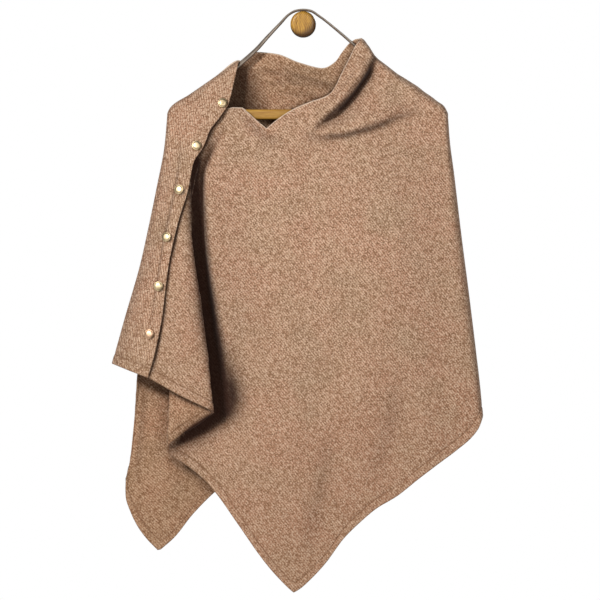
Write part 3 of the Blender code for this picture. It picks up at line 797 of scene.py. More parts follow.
def nearestCloth():
    # For each picture step, how far out from the wall the nearest cloth round it lies, spread and softened as
    # the source of the painted shade.
    picture = np.zeros((recessShadeLook["cells"], recessShadeLook["cells"]))
    heights = np.linspace(0, 1, recessShadeLook["heights"])
    for spec in clothSpecs:
        grid = spec["surface"](np.linspace(0, 1, spec["places"] + recessShadeLook["morePlaces"]), heights)
        down, across = pictureCells(grid)
        np.maximum.at(picture, (down.ravel(), across.ravel()), grid[..., 2].ravel())
    closed = picture.copy()
    for axis in (0, 1):
        closed = np.maximum(closed, np.minimum(np.roll(closed, 1, axis), np.roll(closed, -1, axis)))
    return softened(withPaintedShadow(closed), recessShadeLook["soft"])


def recessShadeAt(grid, picture, spec):
    # Painted shade: 0 on open cloth, 1 deep in a fold or under a nearer layer.
    under = picture[pictureCells(grid)] - grid[..., 2]
    recessShade = np.clip((under - recessShadeLook["start"]) / recessShadeLook["full"], 0, 1)
    recessShade = recessShade * np.where(grid[..., 1] < barDown, spec["neckPaintedShadow"], spec["paintedShadow"])
    # Pressed creases get painted shade too.
    pressed = -raised(grid, spec["creases"]) / recessShadeLook["creaseFull"]
    recessShade = np.maximum(recessShade, np.clip(pressed, 0, recessShadeLook["creaseDark"]))
    # Painted shade along the listed shade runs.
    if "paintedShades" in spec:
        recessShade = np.maximum(recessShade, np.clip(raised(grid, spec["paintedShades"]), 0, 1))
    if spec["name"] == "clothFront":
        # Painted shadow: a thin dark line beside the edge of the wrap that lies on it.
        marks = column(wrapEdge, "down")
        beside = grid[..., 0] - np.interp(grid[..., 1], marks, column(wrapEdge, "across"))
        line = np.exp(-((beside / recessShadeLook["line"]) ** 4)) * (grid[..., 1] > marks[1])
        recessShade = np.maximum(recessShade, recessShadeLook["wrapShadowDark"] * line)
    return recessShade


def resampled(grid, startMarks, endMarks, count):
    # The grid with its first axis cut at fixed distances from both ends.
    gaps = np.linalg.norm(np.diff(grid, axis=0), axis=-1)
    run = np.concatenate([np.zeros((1, grid.shape[1])), np.cumsum(gaps, axis=0)])
    middle = count - len(startMarks) - len(endMarks)
    result = np.zeros((count, grid.shape[1], 3))
    marksOut = np.zeros((count, grid.shape[1]))
    for j in range(grid.shape[1]):
        total = run[-1, j]
        reach = min(1.0, nearEdgeShare * total / max(startMarks[-1], endMarks[-1]))
        first = np.array(startMarks) * reach
        last = total - np.array(endMarks[::-1]) * reach
        between = np.linspace(first[-1], last[0], middle + 2)[1:-1]
        marks = np.concatenate([first, between, last])
        marksOut[:, j] = marks
        for axis in range(3):
            result[:, j, axis] = np.interp(marks, run[:, j], grid[:, j, axis])
    return result, marksOut


def inSteps(points):
    # The other way round than metres.
    across = points[..., 0] / step + pegAcross
    return np.stack([across, pegDown - points[..., 2] / step, -points[..., 1] * 1000], axis=-1)


def flipped(grid):
    return grid.transpose(1, 0, 2)


def unevenness(points, seed, longest, height):
    # A soft random field over the points: a few seeded waves of different length.
    random = np.random.default_rng(seed)
    total = np.zeros(points.shape[:-1])
    for k in range(9):
        direction = random.normal(size=3)
        direction /= np.linalg.norm(direction)
        length = longest * (0.35 + 0.65 * random.random())
        phase = random.random() * 2 * math.pi
        total += np.sin(points @ direction * 2 * math.pi / length + phase)
    return total * height / 3


def gridNormals(points):
    down = np.gradient(points, axis=0)
    across = np.gradient(points, axis=1)
    normals = np.cross(down, across)
    size = np.linalg.norm(normals, axis=-1, keepdims=True)
    return normals / np.maximum(size, 1e-12)


def turnedAway(points, side, reach):
    # What the cloth gains over its flat picture where it rolls back at one side.
    gaps = np.diff(points, axis=1)
    gain = np.hypot(gaps[..., side], gaps[..., 1]) - np.abs(gaps[..., side])
    place = np.linspace(0, 1, gain.shape[1])
    none = np.zeros((len(points), 1))
    far = np.concatenate([none, (gain * (place > 1 - reach)).cumsum(axis=1)], axis=1)
    near = (gain * (place < reach))[:, ::-1].cumsum(axis=1)[:, ::-1]
    near = np.concatenate([near, none], axis=1)
    return far - near


def knitWay(points, grain):
    # Metres across and down, true to the cloth at its rolled sides, turned along the ribs.
    u = points[..., 0] + turnedAway(points, 0, rollReach)
    v = turnedAway(flipped(points), 2, rollReach).T - points[..., 2]
    angle = math.radians(grain)
    across = u * math.sin(angle) - v * math.cos(angle)
    along = u * math.cos(angle) + v * math.sin(angle)
    return across, along


def hemProfile(distance, kind):
    # Wall thickness and dent of the outer face at a distance from a finished edge.
    t = np.clip(distance / hemShape["round"], 0, 1)
    share = np.sqrt(np.clip(1 - (1 - t) ** 2, hemShape["thinnest"], 1))
    if kind == "hem":
        fromLine = distance - hemShape["band"]
        inBand = 1 / (1 + np.exp(fromLine / hemShape["bandFade"]))
        dent = hemShape["groove"] * np.exp(-((fromLine / hemShape["grooveWidth"]) ** 2))
        return share, inBand * hemShape["extra"], dent
    if kind in ("neck", "placket"):
        fromBead = (distance - rimShape["beadAt"]) / rimShape["beadWidth"]
        fromLine = (distance - rimShape["lineAt"]) / rimShape["lineWidth"]
        return share, rimShape["bead"] * np.exp(-(fromBead ** 2)), rimShape["line"] * np.exp(-(fromLine ** 2))
    return share, 0 * distance, 0 * distance


def clothShell(spec, collection, finishes, picture):
    # One panel as a closed shell: its surface, cut anew near the edges, then given a wall.
    grid = spec["surface"](np.linspace(0, 1, spec["places"]), np.linspace(0, 1, spec["heights"]))
    grid[..., 2] += raised(grid, spec["creases"])
    kinds = spec["edges"]
    cuts = {side: edgeMarks[kind] for side, kind in kinds.items()}
    points, down = resampled(metres(grid), cuts["top"], cuts["end"], spec["rows"])
    points, across = resampled(flipped(points), cuts["start"], cuts["far"], spec["columns"])
    points = flipped(points)
    across = across.T
    wide = np.linspace(0, 1, spec["columns"])
    source = np.linspace(0, 1, down.shape[1])
    down = np.stack([np.interp(wide, source, row) for row in down])
    # Distance of each point from the four edges, and the kind of each edge.
    edgesAround = (
        (down - down[:1], kinds["top"]),
        (down[-1:] - down, kinds["end"]),
        (across - across[:, :1], kinds["start"]),
        (across[:, -1:] - across, kinds["far"]),
    )
    normals = gridNormals(points)
    inner = np.ones(points.shape[:2])
    for distance, kind in edgesAround:
        if kind == "seam":
            inner *= np.clip(distance / waveShape["seamReach"], 0, 1) ** 2
    wave = unevenness(points, spec["seed"], *waveShape["long"])
    wave += unevenness(points, spec["seed"] + waveShape["seedGap"], *waveShape["short"])
    points = points + normals * (wave * inner)[..., None]
    normals = gridNormals(points)
    thickness = np.full(points.shape[:2], clothWall)
    dent = np.zeros(points.shape[:2])
    hemFar = np.full(points.shape[:2], noEdgeNear)
    rimFar = np.full(points.shape[:2], noEdgeNear)
    for distance, kind in edgesAround:
        if kind == "seam":
            continue
        share, extra, groove = hemProfile(distance, kind)
        thickness = (thickness + extra) * share
        dent += groove
        if kind == "hem":
            hemFar = np.minimum(hemFar, distance)
        if kind == "neck":
            rimFar = np.minimum(rimFar, distance)
    half = thickness / 2
    outside = points + normals * (half - dent)[..., None]
    inside = points - normals * (half - dent * 0.5)[..., None]
    across, along = knitWay(points, spec["grain"])
    # The painted shade darkens only the side of the cloth that faces the front.
    recessShade = recessShadeAt(inSteps(points), picture, spec)
    facing = np.clip(0.5 - 1.5 * normals[..., 1], 0, 1)
    marks = {
        "hemFar": (hemFar, hemFar),
        "rimFar": (rimFar, rimFar),
        "recessShade": (recessShade * facing, recessShade * (1 - facing)),
    }
    return shellObject(spec, outside, inside, across, along, marks, collection, finishes)


def faceOutward(mesh):
    bm = bmesh.new()
    bm.from_mesh(mesh)
    bmesh.ops.recalc_face_normals(bm, faces=bm.faces)
    bm.to_mesh(mesh)
    bm.free()


def shellObject(spec, outside, inside, across, along, marks, collection, finishes):
    rows, columns = outside.shape[:2]
    index = np.arange(rows * columns).reshape(rows, columns)
    a = index[:-1, :-1].ravel()
    b = index[1:, :-1].ravel()
    c = index[1:, 1:].ravel()
    d = index[:-1, 1:].ravel()
    front = np.stack([a, b, c, d], axis=1)
    shift = rows * columns
    behind = np.stack([a, d, c, b], axis=1) + shift
    loop = np.concatenate([index[0, :-1], index[:-1, -1], index[-1, :0:-1], index[:0:-1, 0]])
    following = np.roll(loop, -1)
    rim = np.stack([loop, following, following + shift, loop + shift], axis=1)
    faces = np.concatenate([front, behind, rim])
    vertices = np.concatenate([outside.reshape(-1, 3), inside.reshape(-1, 3)])
    mesh = bpy.data.meshes.new(spec["name"])
    mesh.from_pydata(vertices.tolist(), [], faces.tolist())
    mesh.update()
    ways = np.stack([across.ravel(), along.ravel()], axis=1)
    ways = np.concatenate([ways, ways])
    corner = np.zeros(len(mesh.loops), int)
    mesh.loops.foreach_get("vertex_index", corner)
    layer = mesh.uv_layers.new(name="knitWay")
    layer.data.foreach_set("uv", ways[corner].ravel())
    for name, (outer, inner) in marks.items():
        attribute = mesh.attributes.new(name, "FLOAT", "POINT")
        attribute.data.foreach_set("value", np.concatenate([outer.ravel(), inner.ravel()]))
    faceOutward(mesh)
    mesh.shade_smooth()
    for finish in finishes:
        mesh.materials.append(finish)
    half = len(front)
    sides = np.zeros(len(mesh.polygons), int)
    sides[half:2 * half] = 1
    if spec["name"] == "clothBack":
        sides = 1 - sides
    mesh.polygons.foreach_set("material_index", sides)
    made = bpy.data.objects.new(spec["name"], mesh)
    collection.objects.link(made)
    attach(made, "root")
    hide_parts(spec["node"])
    return made


def node(tree, kind, **settings):
    made = tree.nodes.new(kind)
    for key, value in settings.items():
        setattr(made, key, value)
    return made


def plug(tree, source, target):
    tree.links.new(source, target)


def mathNode(tree, operation, first, second=None, third=None, clamp=False):
    made = node(tree, "ShaderNodeMath", operation=operation, use_clamp=clamp)
    for slotNumber, value in enumerate((first, second, third)):
        if value is None:
            continue
        if isinstance(value, (int, float)):
            made.inputs[slotNumber].default_value = value
        else:
            plug(tree, value, made.inputs[slotNumber])
    return made.outputs[0]


def mixColour(tree, factor, first, second, blend="MIX"):
    made = node(tree, "ShaderNodeMix", data_type="RGBA", blend_type=blend)
    for name, value in (("Factor_Float", factor), ("A_Color", first), ("B_Color", second)):
        socket = next(s for s in made.inputs if s.identifier == name)
        if isinstance(value, (int, float)):
            socket.default_value = value
        elif isinstance(value, tuple):
            socket.default_value = (*value, 1)
        else:
            plug(tree, value, socket)
    return next(s for s in made.outputs if s.identifier == "Result_Color")


def ramp(tree, factor, stops):
    made = node(tree, "ShaderNodeValToRGB")
    elements = made.color_ramp.elements
    while len(elements) < len(stops):
        elements.new(0.5)
    for element, (place, colour) in zip(elements, stops):
        element.position = place
        element.color = (*colour, 1)
    plug(tree, factor, made.inputs["Fac"])
    return made.outputs["Color"]


def noise(tree, vector, scale, detail=2.0, rough=0.5, kind="3D"):
    made = node(tree, "ShaderNodeTexNoise", noise_dimensions=kind)
    made.inputs["Scale"].default_value = scale
    made.inputs["Detail"].default_value = detail
    made.inputs["Roughness"].default_value = rough
    plug(tree, vector, made.inputs["Vector"])
    return made.outputs["Fac"]


def stretched(tree, vector, scale):
    made = node(tree, "ShaderNodeMapping")
    made.inputs["Scale"].default_value = scale
    plug(tree, vector, made.inputs["Vector"])
    return made.outputs["Vector"]


def setInputs(made, values):
    for name, value in values.items():
        made.inputs[name].default_value = value


def attributeNode(tree, name):
    made = node(tree, "ShaderNodeAttribute", attribute_name=name, attribute_type="GEOMETRY")
    return made.outputs["Fac"]


def addBump(tree, shader, height, strength, distance):
    bump = node(tree, "ShaderNodeBump")
    setInputs(bump, {"Strength": strength, "Distance": distance})
    plug(tree, height, bump.inputs["Height"])
    plug(tree, bump.outputs["Normal"], shader.inputs["Normal"])


def nearShare(tree, distance, width, most):
    # Full at distance 0 and gone at the width.
    near = mathNode(tree, "SUBTRACT", 1.0, mathNode(tree, "DIVIDE", distance, width), clamp=True)
    return mathNode(tree, "MULTIPLY", near, most)


def newMaterial(name):
    made = bpy.data.materials.new(name)
    made.use_nodes = True
    tree = made.node_tree
    return made, tree, tree.nodes["Principled BSDF"], node(tree, "ShaderNodeTexCoord").outputs["Object"]


stitchShape = {
    "wobbleScale": 60.0,
    "wobble": 0.0016,
    "slant": 1.5,
    "legShare": 0.65,
    "bulgeShare": 0.5,
    "grooveSoft": 0.1,
    "grooveSharp": 2.6,
}


def knitGroup():
    # Stitch height, a random value for each stitch and the groove between two ribs.
    group = bpy.data.node_groups.new("knitStitches", "ShaderNodeTree")
    face = group.interface
    for name, kind in (("Way", "Vector"), ("RibWidth", "Float"), ("StitchLength", "Float")):
        face.new_socket(name, in_out="INPUT", socket_type="NodeSocket" + kind)
    for name in ("Height", "Random", "Groove"):
        face.new_socket(name, in_out="OUTPUT", socket_type="NodeSocketFloat")
    start = node(group, "NodeGroupInput")
    end = node(group, "NodeGroupOutput")
    parts = node(group, "ShaderNodeSeparateXYZ")
    plug(group, start.outputs["Way"], parts.inputs[0])
    wobble = noise(group, start.outputs["Way"], stitchShape["wobbleScale"], 1.0, 0.5, "2D")
    wobble = mathNode(group, "MULTIPLY_ADD", wobble, stitchShape["wobble"], -stitchShape["wobble"] / 2)
    sideways = mathNode(group, "ADD", parts.outputs["X"], wobble)
    ribs = mathNode(group, "DIVIDE", sideways, start.outputs["RibWidth"])
    ribNumber = mathNode(group, "FLOOR", ribs)
    inRib = mathNode(group, "SUBTRACT", mathNode(group, "FRACT", ribs), 0.5)
    fromMiddle = mathNode(group, "ABSOLUTE", inRib)
    stitches = mathNode(group, "DIVIDE", parts.outputs["Y"], start.outputs["StitchLength"])
    slanted = mathNode(group, "MULTIPLY_ADD", fromMiddle, stitchShape["slant"], stitches)
    stitchNumber = mathNode(group, "FLOOR", slanted)
    inStitch = mathNode(group, "FRACT", slanted)
    bulge = mathNode(group, "SINE", mathNode(group, "MULTIPLY", inStitch, math.pi))
    leg = mathNode(group, "SINE", mathNode(group, "MULTIPLY", fromMiddle, 2 * math.pi))
    legHigh = mathNode(group, "MULTIPLY_ADD", leg, stitchShape["legShare"], 1 - stitchShape["legShare"])
    bulgeShare = stitchShape["bulgeShare"]
    stitchHigh = mathNode(group, "MULTIPLY_ADD", bulge, bulgeShare, 1 - bulgeShare)
    height = mathNode(group, "MULTIPLY", legHigh, stitchHigh)
    cell = node(group, "ShaderNodeCombineXYZ")
    plug(group, ribNumber, cell.inputs[0])
    plug(group, stitchNumber, cell.inputs[1])
    dice = node(group, "ShaderNodeTexWhiteNoise", noise_dimensions="2D")
    plug(group, cell.outputs[0], dice.inputs["Vector"])
    groove = mathNode(group, "MULTIPLY", fromMiddle, 2.0)
    groove = mathNode(group, "SMOOTH_MIN", groove, 1.0, stitchShape["grooveSoft"])
    groove = mathNode(group, "POWER", groove, stitchShape["grooveSharp"])
    plug(group, height, end.inputs["Height"])
    plug(group, dice.outputs["Value"], end.inputs["Random"])
    plug(group, groove, end.inputs["Groove"])
    return group


# Colours are linear. Mottle is the share of specks, fine flecks and single stitches in it;
# flecks have a gain, a start and the most they cover; lines have a width and the same.
knitLook = {
    "ribWidth": 0.0037,
    "ribLength": 0.0032,
    "stitchWidth": 0.0019,
    "stitchLength": 0.0017,
    "rose": (0.488, 0.271, 0.171),
    "sand": (0.475, 0.29, 0.182),
    "moss": (0.405, 0.265, 0.162),
    "dark": (0.19, 0.092, 0.046),
    "pale": (0.74, 0.535, 0.385),
    # Colour of the painted highlight on the neck's rim.
    "edge": (0.82, 0.66, 0.52),
    # Near black colour of the painted shade.
    "deep": (0.016, 0.003, 0.001),
    "speckScale": (840.0, 540.0, 1.0),
    "fleckScale": 190.0,
    "patchScale": 13.0,
    "fuzzScale": 900.0,
    "mottle": (0.45, 0.08, 0.47),
    "darkFlecks": (-4.8, 2.3, 0.95),
    "paleFlecks": (4.8, -2.45, 0.8),
    "grooveShadeShare": 0.74,
    "rimHighlight": (0.0028, 0.75),
    "seamAt": 0.0159,
    "seamLine": (0.0021, 0.95),
    "seamBreaks": (90.0, 2.4, -0.45),
    "hemLine": (0.0024, 0.7),
    # Painted shade, a little darker lower down.
    "lower": {"From Min": -0.35, "From Max": -0.9, "To Min": 0.0, "To Max": 0.3},
    "recessShadeShare": 0.96,
    "fuzz": 0.35,
    "stitchHigh": 0.5,
    "ribHigh": 0.7,
    "bump": (0.55, 0.0011),
    "surface": {
        "Roughness": 0.92,
        "Specular IOR Level": 0.1,
        "Sheen Weight": 0.1,
        "Sheen Roughness": 0.55,
        "Sheen Tint": (1.0, 0.93, 0.86, 1),
    },
}


def knitNode(tree, way, width, length):
    made = node(tree, "ShaderNodeGroup")
    made.node_tree = bpy.data.node_groups.get("knitStitches") or knitGroup()
    plug(tree, way, made.inputs["Way"])
    made.inputs["RibWidth"].default_value = width
    made.inputs["StitchLength"].default_value = length
    return made


def knitMaterial(name, tint):
    made, tree, shader, spot = newMaterial(name)
    way = node(tree, "ShaderNodeUVMap", uv_map="knitWay").outputs["UV"]
    ribs = knitNode(tree, way, knitLook["ribWidth"], knitLook["ribLength"])
    stitches = knitNode(tree, way, knitLook["stitchWidth"], knitLook["stitchLength"])
    patches = noise(tree, spot, knitLook["patchScale"], 3.0, 0.55)
    colour = ramp(tree, patches, (
        (0.3, knitLook["moss"]), (0.46, knitLook["sand"]), (0.6, knitLook["rose"]),
    ))
    speck = noise(tree, stretched(tree, way, knitLook["speckScale"]), 1.0, 1.0, 0.5, "2D")
    fleck = noise(tree, way, knitLook["fleckScale"], 1.0, 0.5, "2D")
    speckShare, fleckShare, stitchShare = knitLook["mottle"]
    mottle = mathNode(tree, "MULTIPLY", fleck, fleckShare)
    mottle = mathNode(tree, "MULTIPLY_ADD", speck, speckShare, mottle)
    mottle = mathNode(tree, "MULTIPLY_ADD", stitches.outputs["Random"], stitchShare, mottle)
    for tone in ("dark", "pale"):
        gain, start, most = knitLook[tone + "Flecks"]
        share = mathNode(tree, "MULTIPLY_ADD", mottle, gain, start, clamp=True)
        colour = mixColour(tree, mathNode(tree, "MULTIPLY", share, most), colour, knitLook[tone])
    # Painted shade in the groove between two ribs.
    groove = mathNode(tree, "MULTIPLY", ribs.outputs["Groove"], knitLook["grooveShadeShare"])
    colour = mixColour(tree, groove, colour, knitLook["dark"])
    # Painted highlight: the neck's rim is pale. The hem has a broken stitch line and a dark edge.
    rim = nearShare(tree, attributeNode(tree, "rimFar"), *knitLook["rimHighlight"])
    colour = mixColour(tree, rim, colour, knitLook["edge"])
    hem = attributeNode(tree, "hemFar")
    seamFar = mathNode(tree, "ABSOLUTE", mathNode(tree, "SUBTRACT", hem, knitLook["seamAt"]))
    scale, gain, start = knitLook["seamBreaks"]
    broken = mathNode(tree, "MULTIPLY_ADD", noise(tree, spot, scale, 1.0, 0.5), gain, start, clamp=True)
    seamLine = mathNode(tree, "MULTIPLY", nearShare(tree, seamFar, *knitLook["seamLine"]), broken)
    colour = mixColour(tree, seamLine, colour, knitLook["dark"])
    colour = mixColour(tree, nearShare(tree, hem, *knitLook["hemLine"]), colour, knitLook["dark"])
    colour = mixColour(tree, 1.0, colour, tint, "MULTIPLY")
    # Painted shade: the cloth is a little darker towards the hem, and near black where it lies deep in a fold
    # or under a nearer layer.
    heightNow = node(tree, "ShaderNodeSeparateXYZ")
    plug(tree, spot, heightNow.inputs[0])
    low = node(tree, "ShaderNodeMapRange")
    setInputs(low, knitLook["lower"])
    plug(tree, heightNow.outputs["Z"], low.inputs["Value"])
    colour = mixColour(tree, low.outputs["Result"], colour, knitLook["dark"])
    recessShade = mathNode(tree, "MULTIPLY", attributeNode(tree, "recessShade"), knitLook["recessShadeShare"])
    colour = mixColour(tree, recessShade, colour, knitLook["deep"])
    plug(tree, colour, shader.inputs["Base Color"])
    setInputs(shader, knitLook["surface"])
    fuzz = noise(tree, spot, knitLook["fuzzScale"], 2.0, 0.6)
    relief = mathNode(tree, "MULTIPLY", stitches.outputs["Height"], knitLook["stitchHigh"])
    relief = mathNode(tree, "MULTIPLY_ADD", fuzz, knitLook["fuzz"], relief)
    relief = mathNode(tree, "MULTIPLY_ADD", ribs.outputs["Height"], knitLook["ribHigh"], relief)
    addBump(tree, shader, relief, *knitLook["bump"])
    return made


woodLook = {
    "streak": 0.75,
    "fine": 0.35,
    "stops": (0.3, 0.52, 0.72),
    "rough": 0.2,
    "gloss": 0.4,
    "bump": (0.25, 0.0004),
}
# Year rings show as upright arcs on the peg's end, and painted shade darkens its rim away from the lit upper
# left, most at the lower right.
pegRings = {
    "heart": (0.035, -0.1, -0.012),
    "count": 2400.0,
    "wander": 5.0,
    "share": 0.17,
    "bright": (-0.0055, 0.0, 0.0055),
    "pegRimShade": (2.3, -1.6),
    "pegRimShadeMost": 0.9,
    # Colour of the painted shade on the rim.
    "dark": (0.05, 0.018, 0.004),
}


def farFrom(tree, vector, place):
    made = node(tree, "ShaderNodeVectorMath", operation="DISTANCE")
    plug(tree, vector, made.inputs[0])
    made.inputs[1].default_value = place
    return made.outputs["Value"]


def woodMaterial(name, stretch, tones, gloss, ringsAndRimShade=False):
    # Straight grain along the axis with the smallest stretch, on Object coordinates.
    made, tree, shader, spot = newMaterial(name)
    along = stretched(tree, spot, stretch)
    streak = noise(tree, along, 1.0, 4.0, 0.6)
    fine = noise(tree, along, 4.0, 2.0, 0.6)
    grainValue = mathNode(tree, "MULTIPLY", streak, woodLook["streak"])
    grainValue = mathNode(tree, "MULTIPLY_ADD", fine, woodLook["fine"], grainValue)
    if ringsAndRimShade:
        arcs = mathNode(tree, "MULTIPLY", farFrom(tree, spot, pegRings["heart"]), pegRings["count"])
        arcs = mathNode(tree, "MULTIPLY_ADD", streak, pegRings["wander"], arcs)
        arcs = mathNode(tree, "SINE", arcs)
        grainValue = mathNode(tree, "MULTIPLY_ADD", arcs, pegRings["share"], grainValue)
    colour = ramp(tree, grainValue, tuple(zip(woodLook["stops"], tones)))
    # Painted shade on the rim, away from the lit upper left.
    if ringsAndRimShade:
        rim = node(tree, "ShaderNodeVectorMath", operation="MULTIPLY")
        plug(tree, spot, rim.inputs[0])
        rim.inputs[1].default_value = (1.0, 0.0, 1.0)
        toneMask = farFrom(tree, rim.outputs["Vector"], pegRings["bright"])
        toneMask = mathNode(tree, "DIVIDE", toneMask, pegRadius)
        toneMask = mathNode(tree, "MULTIPLY_ADD", toneMask, *pegRings["pegRimShade"], clamp=True)
        toneMask = mathNode(tree, "MULTIPLY", toneMask, pegRings["pegRimShadeMost"])
        colour = mixColour(tree, toneMask, colour, pegRings["dark"])
    plug(tree, colour, shader.inputs["Base Color"])
    rough = mathNode(tree, "MULTIPLY_ADD", fine, woodLook["rough"], gloss)
    plug(tree, rough, shader.inputs["Roughness"])
    shader.inputs["Specular IOR Level"].default_value = woodLook["gloss"]
    addBump(tree, shader, grainValue, *woodLook["bump"])
    return made


leatherLook = {
    "poreScale": 900.0,
    "stops": ((0.3, (0.16, 0.125, 0.095)), (0.52, (0.25, 0.2, 0.155)), (0.72, (0.36, 0.3, 0.24))),
    "core": (0.075, 0.045, 0.028),
    "coreShare": (-2.2, 0.45),
    "surface": {"Roughness": 0.58, "Specular IOR Level": 0.35},
    "bump": (0.35, 0.0003),
}


def leatherMaterial():
    made, tree, shader, spot = newMaterial("strapLeather")
    pores = node(tree, "ShaderNodeTexVoronoi", feature="DISTANCE_TO_EDGE")
    pores.inputs["Scale"].default_value = leatherLook["poreScale"]
    plug(tree, spot, pores.inputs["Vector"])
    colour = ramp(tree, noise(tree, spot, 60.0, 4.0, 0.6), leatherLook["stops"])
    ply = attributeNode(tree, "ply")
    ply = mathNode(tree, "MULTIPLY_ADD", ply, *leatherLook["coreShare"], clamp=True)
    colour = mixColour(tree, ply, colour, leatherLook["core"])
    plug(tree, colour, shader.inputs["Base Color"])
    setInputs(shader, leatherLook["surface"])
    addBump(tree, shader, pores.outputs["Distance"], *leatherLook["bump"])
    return made


goldLook = {
    # Colour of the painted shade on the buttons' rims.
    "buttonShade": (0.07, 0.035, 0.012),
    "rough": (0.25, 0.28),
    "bump": (0.12, 0.0002),
}


def goldMaterial(name, colourLow, colourHigh):
    made, tree, shader, spot = newMaterial(name)
    # Worn spots vary the metal's tone, roughness and bumps.
    toneMask = noise(tree, spot, 420.0, 3.0, 0.6)
    colour = ramp(tree, toneMask, ((0.35, colourLow), (0.65, colourHigh)))
    # Painted shade on the lower right of each button's rim.
    colour = mixColour(tree, attributeNode(tree, "buttonShade"), colour, goldLook["buttonShade"])
    plug(tree, colour, shader.inputs["Base Color"])
    shader.inputs["Metallic"].default_value = 1.0
    rough = mathNode(tree, "MULTIPLY_ADD", toneMask, *goldLook["rough"])
    plug(tree, rough, shader.inputs["Roughness"])
    addBump(tree, shader, toneMask, *goldLook["bump"])
    return made


def paleMaterial():
    made = bpy.data.materials.new("paleFloor")
    made.use_nodes = True
    shader = made.node_tree.nodes["Principled BSDF"]
    shader.inputs["Base Color"].default_value = (0.86, 0.86, 0.86, 1)
    shader.inputs["Roughness"].default_value = 0.9
    return made


def startFresh():
    if bpy.context.object and bpy.context.object.mode != "OBJECT":
        bpy.ops.object.mode_set(mode="OBJECT")
    bpy.ops.object.select_all(action="DESELECT")


def finishHard(made, name, nodeName, finish):
    # Place and size go into the mesh, edges stay crisp, and the piece rides the body.
    bpy.ops.object.transform_apply(location=True, rotation=True, scale=True)
    made.name = name
    made.data.name = name
    made.data.materials.clear()
    made.data.materials.append(finish)
    for owner in list(made.users_collection):
        owner.objects.unlink(made)
    looks.objects.link(made)
    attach(made, "root")
    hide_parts(nodeName)


barSpec = {
    "name": "hangerBarWood",
    "size": (barWidth, barDepth, barHeight),
    "bevel": 0.0042,
    "segments": 6,
    "profile": 0.6,
    "smooth": 40,
}


def addBar(finish):
    startFresh()
    place = metres(np.array([barAcross, barDown, seamDepth]))
    bpy.ops.mesh.primitive_cube_add(size=1, location=place)
    made = bpy.context.object
    made.scale = barSpec["size"]
    bpy.ops.object.transform_apply(location=False, rotation=False, scale=True)
    bpy.ops.object.mode_set(mode="EDIT")
    bpy.ops.mesh.select_all(action="SELECT")
    bpy.ops.mesh.bevel(offset=barSpec["bevel"], segments=barSpec["segments"], profile=barSpec["profile"])
    bpy.ops.object.mode_set(mode="OBJECT")
    bpy.ops.object.shade_smooth_by_angle(angle=math.radians(barSpec["smooth"]))
    finishHard(made, barSpec["name"], "hanger_bar", finish)


pegSpec = {
    "name": "wallPegWood",
    "sides": 128,
    "bevel": 0.0064,
    "segments": 10,
    "profile": 0.55,
    "smooth": 35,
    "nearEnd": 0.0001,
}


def addPeg(finish):
    startFresh()
    bpy.ops.mesh.primitive_cylinder_add(
        vertices=pegSpec["sides"],
        radius=pegRadius,
        depth=pegLength,
        location=(0, -pegLength / 2, 0),
        rotation=(math.radians(90), 0, 0),
        end_fill_type="NGON",
    )
    made = bpy.context.object
    bpy.ops.object.mode_set(mode="EDIT")
    bm = bmesh.from_edit_mesh(made.data)
    for edgeItem in bm.edges:
        high = all(
            (made.matrix_world @ v.co).y < -pegLength + pegSpec["nearEnd"] for v in edgeItem.verts
        )
        edgeItem.select_set(high)
    bmesh.update_edit_mesh(made.data)
    bpy.ops.mesh.bevel(offset=pegSpec["bevel"], segments=pegSpec["segments"], profile=pegSpec["profile"])
    bpy.ops.object.mode_set(mode="OBJECT")
    bpy.ops.object.shade_smooth_by_angle(angle=math.radians(pegSpec["smooth"]))
    finishHard(made, pegSpec["name"], "wall_peg", finish)


# The ribbon's twist in degrees goes from the left leg to the right one, over places across;
# the strap hides in the neck where its shown share is 0.
strapSpec = {
    "name": "hangerStrapLeather",
    "points": 150,
    "twist": ((238, 262, 292, 318, 350), (17.0, 17.0 * 0.7, 0, 0, 5.0)),
    "shown": ((205, 236, 352, 385), (0, 1, 1, 0)),
    "round": 0.0012,
    "inset": 0.0002,
    "cornerPoints": 5,
}


